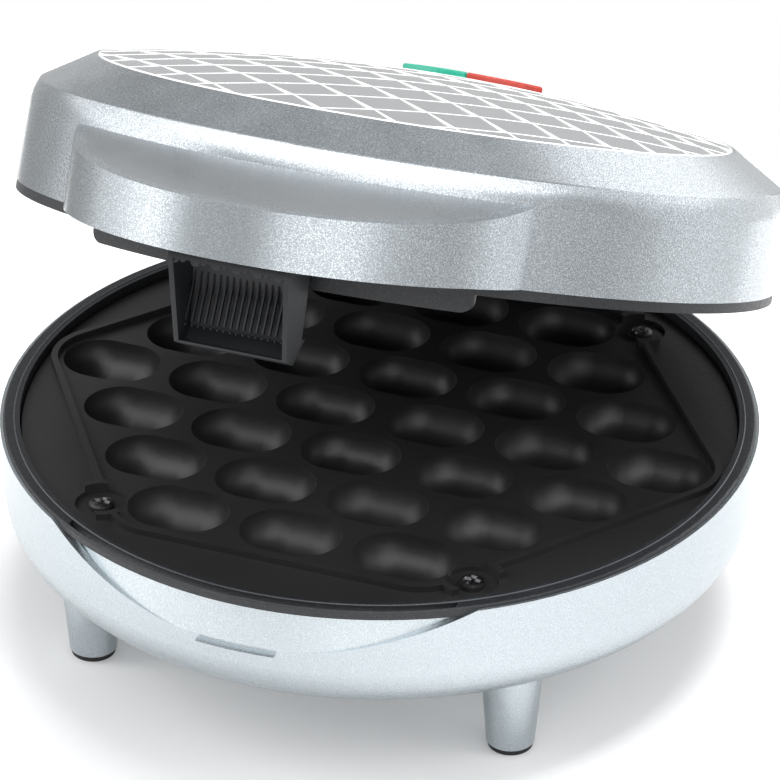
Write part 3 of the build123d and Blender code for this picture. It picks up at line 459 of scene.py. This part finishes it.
def screw_cap(sizes):
    """Domed cap with a cross slot, standing on Z = 0."""
    bm = bmesh.new()
    cell = sizes.slot_width / 2
    slot_edge = 1.1 * cell  # a tenth over, so that grid points on the slot's edge count as in it
    count = 2 * (int(sizes.head / cell) + 1)
    bmesh.ops.create_grid(bm, x_segments=count, y_segments=count, size=count * cell / 2)
    clip_round(bm, sizes.head, SCREW_SIDES)
    for vert in bm.verts:
        x, y = abs(vert.co.x), abs(vert.co.y)
        vert.co.z = sizes.height * (1 - sizes.fall * (x * x + y * y) / sizes.head ** 2)
        if min(x, y) < slot_edge and max(x, y) < sizes.slot_length / 2:
            vert.co.z -= sizes.slot_depth
    edges = [e for e in bm.edges if e.is_boundary]
    made = bmesh.ops.extrude_edge_only(bm, edges=edges)["geom"]
    for vert in (v for v in made if isinstance(v, bmesh.types.BMVert)):
        vert.co.z = sizes.height / 3
    bmesh.ops.edgeloop_fill(bm, edges=[e for e in made if isinstance(e, bmesh.types.BMEdge)])
    return bm


class WAFFLE_OT_plate_screws(bpy.types.Operator):
    """Make the round-headed screws of both plates"""
    bl_idname = "waffle.plate_screws"
    bl_label = "Plate screws"

    def execute(self, context):
        scene = context.scene
        sizes = scene.waffle_screws
        finish = steel_finish("screw_steel", tuple(scene.waffle_colours.screw), 0.36)
        flip = Matrix.Translation((0, 0, 2 * sizes.parting)) @ Matrix.Diagonal((1, 1, -1, 1))
        sides = (("lower_plate_screws", "base", base_place(scene)),
                 ("upper_plate_screws", "lid", lid_place(scene) @ flip))
        places = [(sx * sizes.across, sy * sizes.along, sizes.seat) for sx in (-1, 1) for sy in (-1, 1)]
        for node, body, place in sides:
            shanks = softened(node, SHANK_EDGE, 2)
            bmesh.ops.transform(shanks, matrix=place.inverted(), verts=shanks.verts)
            for vert in shanks.verts:
                vert.co.z = min(vert.co.z, sizes.seat + sizes.height / 2)
            bmesh.ops.transform(shanks, matrix=place, verts=shanks.verts)
            bmesh.ops.recalc_face_normals(shanks, faces=shanks.faces)
            add_piece(node.replace("screws", "screw_shanks"), shanks, finish, body, [node])
            caps = repeated(screw_cap(sizes), [place @ Matrix.Translation(spot) for spot in places])
            add_piece(node.replace("screws", "screw_heads"), caps, finish, body)
        return {"FINISHED"}


class WAFFLE_OT_lamp_lenses(bpy.types.Operator):
    """Make the two lamp lenses with rounded edges"""
    bl_idname = "waffle.lamp_lenses"
    bl_label = "Lamp lenses"

    def execute(self, context):
        colours = context.scene.waffle_colours
        for side, tint, glow in (("green", colours.green, 0.35), ("red", colours.red, 0.0)):
            finish = lens_finish(side + "_lens_plastic", tint, glow)
            node = side + "_lamp_lens"
            add_piece(side + "_lens", softened(node, MOULDED_EDGE), finish, "lid", [node])
        return {"FINISHED"}


class WAFFLE_OT_soft_edges(bpy.types.Operator):
    """Make the foot pads and the cord's gland with softened edges"""
    bl_idname = "waffle.soft_edges"
    bl_label = "Pads and gland"

    def execute(self, context):
        colours = context.scene.waffle_colours
        trim = trim_finish("bush_plastic", tuple(colours.trim))
        rubber = rubber_finish(colours.rubber)
        for corner in ("front_left", "front_right", "rear_left", "rear_right"):
            node = corner + "_foot_pad"
            add_piece(corner + "_pad", softened(node, PAD_EDGE), rubber, "base", [node])
        bush = softened("cord_gland", MOULDED_EDGE)
        add_piece("cord_bush", bush, trim, "base", ["cord_gland"])
        return {"FINISHED"}


class WAFFLE_OT_bezel_bead(bpy.types.Operator):
    """Make the thin bead on the base's black ring"""
    bl_idname = "waffle.bezel_bead"
    bl_label = "Ring bead"

    def execute(self, context):
        scene = context.scene
        sizes = scene.waffle_bezel
        bm = bmesh.new()
        made = bmesh.ops.create_circle(bm, segments=BEAD_SIDES, radius=sizes.bead)["verts"]
        place = Matrix.Translation((sizes.radius, 0, sizes.height))
        bmesh.ops.transform(bm, matrix=place @ UPRIGHT, verts=made)
        bmesh.ops.spin(bm, geom=list(bm.verts) + list(bm.edges), axis=(0, 0, 1), cent=(0, 0, 0),
                       angle=2 * math.pi, steps=BEAD_STEPS, use_merge=True)
        bmesh.ops.recalc_face_normals(bm, faces=bm.faces)
        bmesh.ops.transform(bm, matrix=base_place(scene), verts=bm.verts)
        # The bead is painted paler than the black trim: a painted highlight along the ring's inner edge
        finish = trim_finish("bead_painted_highlight", scaled(scene.waffle_colours.glint, 1.5), 0.2)
        add_piece("bezel_bead", bm, finish, "base")
        return {"FINISHED"}


# Finishes
NOISE_ROUGHNESS = 0.55
# Sockets of a Mix node: its first input, its second input and its result
COLOUR_MIX = (6, 7, 2)
VALUE_MIX = (2, 3, 0)


def new_finish(name, tint, roughness, metallic=0.0, **sockets):
    """A material with its main values on the shader's own sockets."""
    finish = bpy.data.materials.new(name)
    finish.use_nodes = True
    shader = finish.node_tree.nodes["Principled BSDF"]
    shader.inputs["Base Color"].default_value = (*tint, 1.0)
    shader.inputs["Roughness"].default_value = roughness
    shader.inputs["Metallic"].default_value = metallic
    for socket, value in sockets.items():
        shader.inputs[socket.replace("_", " ")].default_value = value
    return finish, finish.node_tree, shader


def add_node(tree, kind, **values):
    """A node with its properties and unlinked inputs set by name."""
    made = tree.nodes.new(kind)
    for name, value in values.items():
        socket = name.replace("_", " ")
        if socket in made.inputs:
            made.inputs[socket].default_value = value
        else:
            setattr(made, name, value)
    return made


def object_place(tree):
    """The Object coordinates socket."""
    return add_node(tree, "ShaderNodeTexCoord").outputs["Object"]


def noise(tree, place, scale, detail):
    """Noise value socket."""
    made = add_node(tree, "ShaderNodeTexNoise", Scale=scale, Detail=detail, Roughness=NOISE_ROUGHNESS)
    tree.links.new(place, made.inputs["Vector"])
    return made.outputs["Fac"]


def spread(tree, value, low, high, to_low, to_high):
    """Maps a value range to another."""
    made = add_node(tree, "ShaderNodeMapRange", From_Min=low, From_Max=high, To_Min=to_low, To_Max=to_high)
    tree.links.new(value, made.inputs["Value"])
    return made.outputs["Result"]


def tinted(tree, value, dark, light):
    """Colour between two tints by a value."""
    made = add_node(tree, "ShaderNodeMix", data_type="RGBA")
    first, second, result = COLOUR_MIX
    made.inputs[first].default_value = (*dark, 1.0)
    made.inputs[second].default_value = (*light, 1.0)
    tree.links.new(value, made.inputs["Factor"])
    return made.outputs[result]


def bumped(tree, shader, height, distance, strength, below=None):
    """Bump from a height, optionally over another bump."""
    made = add_node(tree, "ShaderNodeBump", Distance=distance, Strength=strength)
    tree.links.new(height, made.inputs["Height"])
    if below is not None:
        tree.links.new(below, made.inputs["Normal"])
    tree.links.new(made.outputs["Normal"], shader.inputs["Normal"])
    return made.outputs["Normal"]


def scaled(tint, factor):
    """A tint made lighter or darker."""
    return tuple(min(1.0, part * factor) for part in tint)


def blended(tree, value, low, high):
    """Mix of two colour or value sockets by a value."""
    is_colour = low.type == "RGBA"
    made = add_node(tree, "ShaderNodeMix", data_type="RGBA" if is_colour else "FLOAT")
    first, second, result = COLOUR_MIX if is_colour else VALUE_MIX
    tree.links.new(value, made.inputs["Factor"])
    tree.links.new(low, made.inputs[first])
    tree.links.new(high, made.inputs[second])
    return made.outputs[result]


def reach(tree, place, centre):
    """Distance across the table plane from an upright line."""
    moved = add_node(tree, "ShaderNodeVectorMath", operation="SUBTRACT")
    moved.inputs[1].default_value = centre
    tree.links.new(place, moved.inputs[0])
    flat = add_node(tree, "ShaderNodeVectorMath", operation="MULTIPLY")
    flat.inputs[1].default_value = (1, 1, 0)
    tree.links.new(moved.outputs["Vector"], flat.inputs[0])
    size = add_node(tree, "ShaderNodeVectorMath", operation="LENGTH")
    tree.links.new(flat.outputs["Vector"], size.inputs[0])
    return size.outputs["Value"]


def scoop_mask(tree, place, scene):
    """1 on the handle's smooth scoop, 0 elsewhere on the lid."""
    sizes = scene.waffle_handle
    axis_y = HINGE.y - scene.waffle_panel.axis_to_hinge
    closed = add_node(tree, "ShaderNodeVectorRotate", rotation_type="X_AXIS", Angle=LID_ANGLE)
    closed.inputs["Center"].default_value = HINGE
    tree.links.new(place, closed.inputs["Vector"])
    closed = closed.outputs["Vector"]
    split = tree.nodes.new("ShaderNodeSeparateXYZ")
    tree.links.new(closed, split.inputs[0])
    soft = sizes.blend
    inner = sizes.nose - sizes.edge
    from_axis = reach(tree, closed, (0, axis_y, 0))
    from_nose = reach(tree, closed, (0, axis_y + sizes.middle, 0))
    masks = (spread(tree, from_axis, sizes.wall - soft, sizes.wall + soft, 0.0, 1.0),
             spread(tree, from_nose, inner - soft, inner + soft, 1.0, 0.0),
             spread(tree, split.outputs["Z"], sizes.low - soft, sizes.low + soft, 0.0, 1.0))
    whole = masks[0]
    for mask in masks[1:]:
        product = add_node(tree, "ShaderNodeMath", operation="MULTIPLY")
        tree.links.new(whole, product.inputs[0])
        tree.links.new(mask, product.inputs[1])
        whole = product.outputs[0]
    return whole


def silver_finish(name, tint, flake, contrast, roughness, scene=None):
    """Metallic paint with fine bright flakes; given the scene, the handle's scoop is left smooth."""
    finish, tree, shader = new_finish(name, tint, roughness, 0.8, Coat_Weight=0.25, Coat_Roughness=0.15)
    place = object_place(tree)
    fine = noise(tree, place, 1.0 / flake, 1.0)
    cloud = noise(tree, place, 45.0, 3.0)
    specks = spread(tree, fine, 0.42, 0.72, 0.0, 1.0)
    ground = tinted(tree, specks, scaled(tint, 1 - contrast), scaled(tint, 1 + contrast))
    rough = spread(tree, fine, 0.35, 0.7, roughness + 0.06, roughness - 0.08)
    weight = spread(tree, cloud, 0.3, 0.7, 0.88, 0.96)
    if scene is not None:
        mask = scoop_mask(tree, place, scene)
        scoop = tuple(scene.waffle_colours.scoop)
        ground = blended(tree, mask, ground, tinted(tree, cloud, scaled(scoop, 0.96), scaled(scoop, 1.04)))
        rough = blended(tree, mask, rough, spread(tree, cloud, 0.3, 0.7, 0.24, 0.28))
    tree.links.new(ground, shader.inputs["Base Color"])
    tree.links.new(rough, shader.inputs["Roughness"])
    tree.links.new(weight, shader.inputs["Metallic"])
    return finish


def trim_finish(name, tint, roughness=0.42, glint=None):
    """Moulded black plastic with a fine spark-eroded grain, where wanted with bright specks."""
    finish, tree, shader = new_finish(name, tint, roughness, 0.0, Specular_IOR_Level=0.5)
    place = object_place(tree)
    fine = noise(tree, place, 1500.0, 4.0)
    broad = noise(tree, place, 60.0, 3.0)
    ground = tinted(tree, broad, scaled(tint, 0.75), scaled(tint, 1.5))
    if glint is not None:
        # Bright specks of painted highlight: glints painted into the colour
        specks = spread(tree, noise(tree, place, 2300.0, 1.0), 0.56, 0.74, 0.0, 1.0)
        ground = blended(tree, specks, ground, tinted(tree, broad, scaled(glint, 0.8), glint))
    tree.links.new(ground, shader.inputs["Base Color"])
    uneven = spread(tree, fine, 0.3, 0.7, roughness - 0.1, roughness + 0.14)
    tree.links.new(uneven, shader.inputs["Roughness"])
    bumped(tree, shader, fine, 0.00012, 0.5)
    return finish


def coating_finish(tint):
    """Black non-stick coating with a soft sheen and slight orange peel."""
    finish, tree, shader = new_finish("non_stick_coating", tint, 0.38, 0.0, Specular_IOR_Level=0.5)
    place = object_place(tree)
    peel = noise(tree, place, 420.0, 2.0)
    grain = noise(tree, place, 2600.0, 2.0)
    worn = noise(tree, place, 24.0, 4.0)
    tree.links.new(tinted(tree, worn, scaled(tint, 0.8), scaled(tint, 1.45)), shader.inputs["Base Color"])
    tree.links.new(spread(tree, worn, 0.25, 0.75, 0.32, 0.46), shader.inputs["Roughness"])
    below = bumped(tree, shader, peel, 0.00012, 0.5)
    bumped(tree, shader, grain, 0.00005, 0.5, below)
    return finish


def latch_finish(name, tint):
    """Charcoal plastic of the latch with a fine grain."""
    finish, tree, shader = new_finish(name, tint, 0.45, 0.0, Specular_IOR_Level=0.35)
    place = object_place(tree)
    fine = noise(tree, place, 1800.0, 3.0)
    broad = noise(tree, place, 90.0, 3.0)
    tree.links.new(tinted(tree, broad, scaled(tint, 0.7), scaled(tint, 1.6)), shader.inputs["Base Color"])
    bumped(tree, shader, fine, 0.00008, 0.4)
    return finish


def rubber_finish(tint):
    """Dull rubber."""
    finish, tree, shader = new_finish("pad_rubber", tint, 0.7)
    place = object_place(tree)
    grain = noise(tree, place, 1200.0, 4.0)
    tree.links.new(tinted(tree, grain, scaled(tint, 0.7), scaled(tint, 1.8)), shader.inputs["Base Color"])
    bumped(tree, shader, grain, 0.0002, 0.6)
    return finish


def panel_finish(colours):
    """Light grey satin plastic of the top panel's diamonds."""
    tint = tuple(colours.panel)
    finish, tree, shader = new_finish("panel_plastic", tint, 0.3, 0.25, Coat_Weight=0.3, Coat_Roughness=0.1)
    place = object_place(tree)
    fine = noise(tree, place, 2200.0, 2.0)
    broad = noise(tree, place, 70.0, 2.0)
    tree.links.new(tinted(tree, broad, scaled(tint, 0.93), scaled(tint, 1.06)), shader.inputs["Base Color"])
    bumped(tree, shader, fine, 0.00003, 0.4)
    return finish


def line_highlight_finish(colours):
    """Near-white gloss of the panel's raised lines and rim."""
    tint = tuple(colours.lines)
    finish, tree, shader = new_finish("panel_line_painted_highlight", tint, 0.25, 0.0, Coat_Weight=0.3,
                                      Coat_Roughness=0.1)
    broad = noise(tree, object_place(tree), 300.0, 2.0)
    tree.links.new(tinted(tree, broad, scaled(tint, 0.95), tint), shader.inputs["Base Color"])
    tree.links.new(spread(tree, broad, 0.3, 0.7, 0.2, 0.3), shader.inputs["Roughness"])
    return finish


def lens_finish(name, tint, glow):
    """Clear coloured plastic of a lamp lens."""
    finish, tree, shader = new_finish(name, tint, 0.18, 0.0, Transmission_Weight=0.25, IOR=1.49,
                                      Emission_Strength=glow)
    shader.inputs["Emission Color"].default_value = (*tint, 1.0)
    place = object_place(tree)
    ribs = noise(tree, place, 500.0, 1.0)
    tree.links.new(tinted(tree, ribs, scaled(tint, 0.8), scaled(tint, 1.25)), shader.inputs["Base Color"])
    bumped(tree, shader, ribs, 0.0001, 0.3)
    return finish


def steel_finish(name, tint, roughness):
    """Plain metal with a fine unevenness."""
    finish, tree, shader = new_finish(name, tint, roughness, 1.0)
    place = object_place(tree)
    grain = noise(tree, place, 900.0, 5.0)
    tree.links.new(tinted(tree, grain, scaled(tint, 0.8), scaled(tint, 1.2)), shader.inputs["Base Color"])
    uneven = spread(tree, grain, 0.3, 0.7, roughness - 0.08, roughness + 0.1)
    tree.links.new(uneven, shader.inputs["Roughness"])
    bumped(tree, shader, grain, 0.00005, 0.4)
    return finish


def plain_finish(name, tint, roughness, scale=600.0, **sockets):
    """Moulded or fired material with a light grain, for the inner pieces."""
    finish, tree, shader = new_finish(name, tint, roughness, 0.0, **sockets)
    place = object_place(tree)
    grain = noise(tree, place, scale, 4.0)
    tree.links.new(tinted(tree, grain, scaled(tint, 0.85), scaled(tint, 1.12)), shader.inputs["Base Color"])
    bumped(tree, shader, grain, 0.0001, 0.4)
    return finish


class WAFFLE_OT_finishes(bpy.types.Operator):
    """Give every CAD node its finish"""
    bl_idname = "waffle.finishes"
    bl_label = "Finishes"

    def execute(self, context):
        scene = context.scene
        colours = scene.waffle_colours
        # The black trim carries painted glints: bright specks of painted highlight
        trim = trim_finish("trim_plastic", tuple(colours.trim), glint=tuple(colours.glint))
        coating = coating_finish(tuple(colours.coating))
        finishes = {
            # The base's copy of the silver paint is darker than the lid's: painted shade
            "silver_paint": silver_finish("base_silver_painted_shade", tuple(colours.base_paint_with_shade), flake=0.00034,
                                          contrast=0.10, roughness=0.30),
            "black_trim": trim,
            "black_plastic": trim_finish("gland_plastic", tuple(colours.trim)),
            "rubber_pad": rubber_finish(tuple(colours.rubber)),
            "panel_grey": panel_finish(colours),
            "latch_charcoal": latch_finish("latch_body_plastic", tuple(colours.latch)),
            "green_lens": lens_finish("green_plastic", tuple(colours.green), glow=0.2),
            "red_lens": lens_finish("red_plastic", tuple(colours.red), glow=0.0),
            "non_stick": coating,
            "bulb_glass": plain_finish("bulb_glass_clear", (0.9, 0.88, 0.8), 0.1, Transmission_Weight=0.8),
            "ceramic": plain_finish("fired_ceramic", (0.82, 0.80, 0.74), 0.35),
            "bright_sheet": steel_finish("bright_sheet_metal", (0.80, 0.80, 0.82), 0.25),
            "wire_sleeve": plain_finish("woven_sleeve", (0.62, 0.60, 0.55), 0.7, scale=1800.0),
            "control_steel": steel_finish("control_metal", (0.58, 0.58, 0.60), 0.35),
            "dark_screw": steel_finish("dark_screw_steel", (0.10, 0.10, 0.105), 0.42),
            "element_sheath": steel_finish("element_metal", (0.33, 0.31, 0.28), 0.5),
            "steel": steel_finish("bright_steel", (0.62, 0.62, 0.64), 0.32),
        }
        slots = {part["node"]: part["material_slot"] for part in frame["record"]["subparts"]}
        lid_silver = silver_finish("lid_silver", tuple(colours.lid_paint), flake=0.00038, contrast=0.34,
                                   roughness=0.25, scene=scene)
        for name, node in NODES.items():
            finish = lid_silver if name == "lid_shell" else finishes[slots[name]]
            node.data.materials.clear()
            node.data.materials.append(finish)
        return {"FINISHED"}


# Stage
def floor_finish(stage):
    """Pale floor that the eye sees as white where no shadow falls."""
    finish = bpy.data.materials.new("pale_floor")
    finish.use_nodes = True
    tree = finish.node_tree
    tree.nodes.clear()
    matt = add_node(tree, "ShaderNodeBsdfDiffuse", Color=(*stage.floor_colour, 1.0))
    glow = add_node(tree, "ShaderNodeEmission")
    both = tree.nodes.new("ShaderNodeAddShader")
    out = tree.nodes.new("ShaderNodeOutputMaterial")
    path = tree.nodes.new("ShaderNodeLightPath")
    level = add_node(tree, "ShaderNodeMath", operation="MAXIMUM")
    whites = ((0, "Is Camera Ray", stage.floor_white), (1, "Is Glossy Ray", stage.floor_mirrored))
    for place, rays, white in whites:
        tree.links.new(spread(tree, path.outputs[rays], 0.0, 1.0, 0.0, white), level.inputs[place])
    tree.links.new(level.outputs[0], glow.inputs["Strength"])
    tree.links.new(matt.outputs[0], both.inputs[0])
    tree.links.new(glow.outputs[0], both.inputs[1])
    tree.links.new(both.outputs[0], out.inputs["Surface"])
    return finish


def add_light(name, place, size_x, size_y, power):
    """A soft rectangular lamp that faces the maker and shows in no reflection."""
    data = bpy.data.lights.new(name, "AREA")
    data.shape = "RECTANGLE"
    data.size, data.size_y, data.energy = size_x, size_y, power
    lamp = bpy.data.objects.new(name, data)
    lamp.location = place
    lamp.rotation_euler = (LAMP_AIM - Vector(place)).to_track_quat("-Z", "Y").to_euler()
    lamp.visible_glossy = False
    bpy.context.scene.collection.objects.link(lamp)


def level_ramp(tree, value, stops):
    """Grey level along a value from 0 to 1."""
    ramp = tree.nodes.new("ShaderNodeValToRGB")
    elements = ramp.color_ramp.elements
    ramp.color_ramp.interpolation = "EASE"
    elements[0].position, elements[1].position = stops[0][0], stops[-1][0]
    for place, _ in stops[1:-1]:
        elements.new(place)
    for element, (_, level) in zip(elements, stops):
        element.color = (level, level, level, 1.0)
    tree.links.new(value, ramp.inputs["Fac"])
    return ramp.outputs["Color"]


def full_turn(stops):
    """Stops by azimuth in degrees, as stops from 0 to 1."""
    return [((azimuth + 180) / 360, level) for azimuth, level in stops]


def studio_world(stage):
    """White to the eye; for the light a soft room with pale and grey walls under a bright ceiling."""
    world = bpy.data.worlds.new("studio")
    bpy.context.scene.world = world
    world.use_nodes = True
    tree = world.node_tree
    back = tree.nodes["Background"]
    split = tree.nodes.new("ShaderNodeSeparateXYZ")
    tree.links.new(add_node(tree, "ShaderNodeTexCoord").outputs["Generated"], split.inputs[0])
    turn = add_node(tree, "ShaderNodeMath", operation="ARCTAN2")
    front = add_node(tree, "ShaderNodeMath", operation="MULTIPLY")
    front.inputs[1].default_value = -1.0
    tree.links.new(split.outputs["Y"], front.inputs[0])
    tree.links.new(split.outputs["X"], turn.inputs[0])
    tree.links.new(front.outputs[0], turn.inputs[1])
    around = spread(tree, turn.outputs[0], -math.pi, math.pi, 0.0, 1.0)
    horizon = level_ramp(tree, around, full_turn(HORIZON))
    walls = level_ramp(tree, around, full_turn(WALLS))
    ceiling = level_ramp(tree, spread(tree, front.outputs[0], -1.0, 1.0, 0.0, 1.0), CEILING)
    height = split.outputs["Z"]
    room = blended(tree, spread(tree, height, *ABOVE_HORIZON, 0.0, 1.0), horizon, walls)
    room = blended(tree, spread(tree, height, *ABOVE_WALLS, 0.0, 1.0), room, ceiling)
    path = tree.nodes.new("ShaderNodeLightPath")
    pick = add_node(tree, "ShaderNodeMix", data_type="RGBA")
    first, second, result = COLOUR_MIX
    pick.inputs[second].default_value = (1.0, 1.0, 1.0, 1.0)
    tree.links.new(path.outputs["Is Camera Ray"], pick.inputs["Factor"])
    tree.links.new(room, pick.inputs[first])
    tree.links.new(pick.outputs[result], back.inputs["Color"])
    softer = spread(tree, path.outputs["Is Diffuse Ray"], 0.0, 1.0, stage.room_light, stage.room_fill)
    strength = add_node(tree, "ShaderNodeMix", data_type="FLOAT")
    first, second, result = VALUE_MIX
    strength.inputs[second].default_value = 1.0
    tree.links.new(path.outputs["Is Camera Ray"], strength.inputs["Factor"])
    tree.links.new(softer, strength.inputs[first])
    tree.links.new(strength.outputs[result], back.inputs["Strength"])


def add_camera(stage):
    """The camera at the photograph's viewing angle."""
    az, el, roll = stage.azimuth, stage.elevation, stage.roll
    back = Vector((math.sin(az) * math.cos(el), -math.cos(az) * math.cos(el), math.sin(el)))
    right = Vector((math.cos(az), math.sin(az), 0))
    up = back.cross(right)
    right, up = right * math.cos(roll) + up * math.sin(roll), up * math.cos(roll) - right * math.sin(roll)
    data = bpy.data.cameras.new("photo_camera")
    data.sensor_width = stage.sensor
    data.lens = stage.lens
    camera = bpy.data.objects.new("photo_camera", data)
    turn = Matrix((right, up, back)).transposed().to_4x4()
    camera.matrix_world = Matrix.Translation(Vector(stage.target) + back * stage.distance) @ turn
    bpy.context.scene.collection.objects.link(camera)
    bpy.context.scene.camera = camera


class WAFFLE_OT_stage(bpy.types.Operator):
    """Make the floor, the light and the camera"""
    bl_idname = "waffle.stage"
    bl_label = "Stage"

    def execute(self, context):
        stage = context.scene.waffle_stage
        bm = bmesh.new()
        bmesh.ops.create_grid(bm, x_segments=1, y_segments=1, size=stage.floor_size / 2)
        mesh = bpy.data.meshes.new("floor")
        bm.to_mesh(mesh)
        bm.free()
        mesh.materials.append(floor_finish(stage))
        floor = bpy.data.objects.new("floor", mesh)
        context.scene.collection.objects.link(floor)
        for softbox in SOFTBOXES:
            add_light(*softbox)
        studio_world(stage)
        add_camera(stage)
        context.scene.view_settings.view_transform = "Standard"
        return {"FINISHED"}


class WAFFLE_PT_sidebar(bpy.types.Panel):
    """The maker's steps in the 3D view's sidebar"""
    bl_idname = "WAFFLE_PT_sidebar"
    bl_label = "Waffle maker"
    bl_space_type = "VIEW_3D"
    bl_region_type = "UI"
    bl_category = "Waffle maker"

    def draw(self, context):
        for step in STEPS:
            self.layout.operator(step.bl_idname)
        for name in SETTINGS:
            settings = getattr(context.scene, name)
            column = self.layout.column(heading=settings.__doc__ or name)
            for prop in settings.__annotations__:
                column.prop(settings, prop)


STEPS = (WAFFLE_OT_finishes, WAFFLE_OT_top_panel, WAFFLE_OT_latch_details, WAFFLE_OT_plate_screws,
         WAFFLE_OT_lamp_lenses, WAFFLE_OT_soft_edges, WAFFLE_OT_bezel_bead, WAFFLE_OT_stage)
CLASSES = (*GROUPS, *STEPS, WAFFLE_PT_sidebar)


def register():
    """Registers the classes and hangs the settings on the scene."""
    for cls in CLASSES:
        bpy.utils.register_class(cls)
    for name, group in zip(SETTINGS, GROUPS):
        setattr(bpy.types.Scene, name, PointerProperty(type=group))


def unregister():
    """Takes the settings and the classes away again."""
    for name in SETTINGS:
        delattr(bpy.types.Scene, name)
    for cls in reversed(CLASSES):
        bpy.utils.unregister_class(cls)


def main():
    """Runs every step and writes down the CAD box and the finished box."""
    register()
    bpy.ops.waffle.finishes()
    bpy.ops.waffle.top_panel()
    bpy.ops.waffle.latch_details()
    bpy.ops.waffle.plate_screws()
    bpy.ops.waffle.lamp_lenses()
    bpy.ops.waffle.soft_edges()
    bpy.ops.waffle.bezel_bead()
    bpy.ops.waffle.stage()


if __name__ == "__main__":
    main()
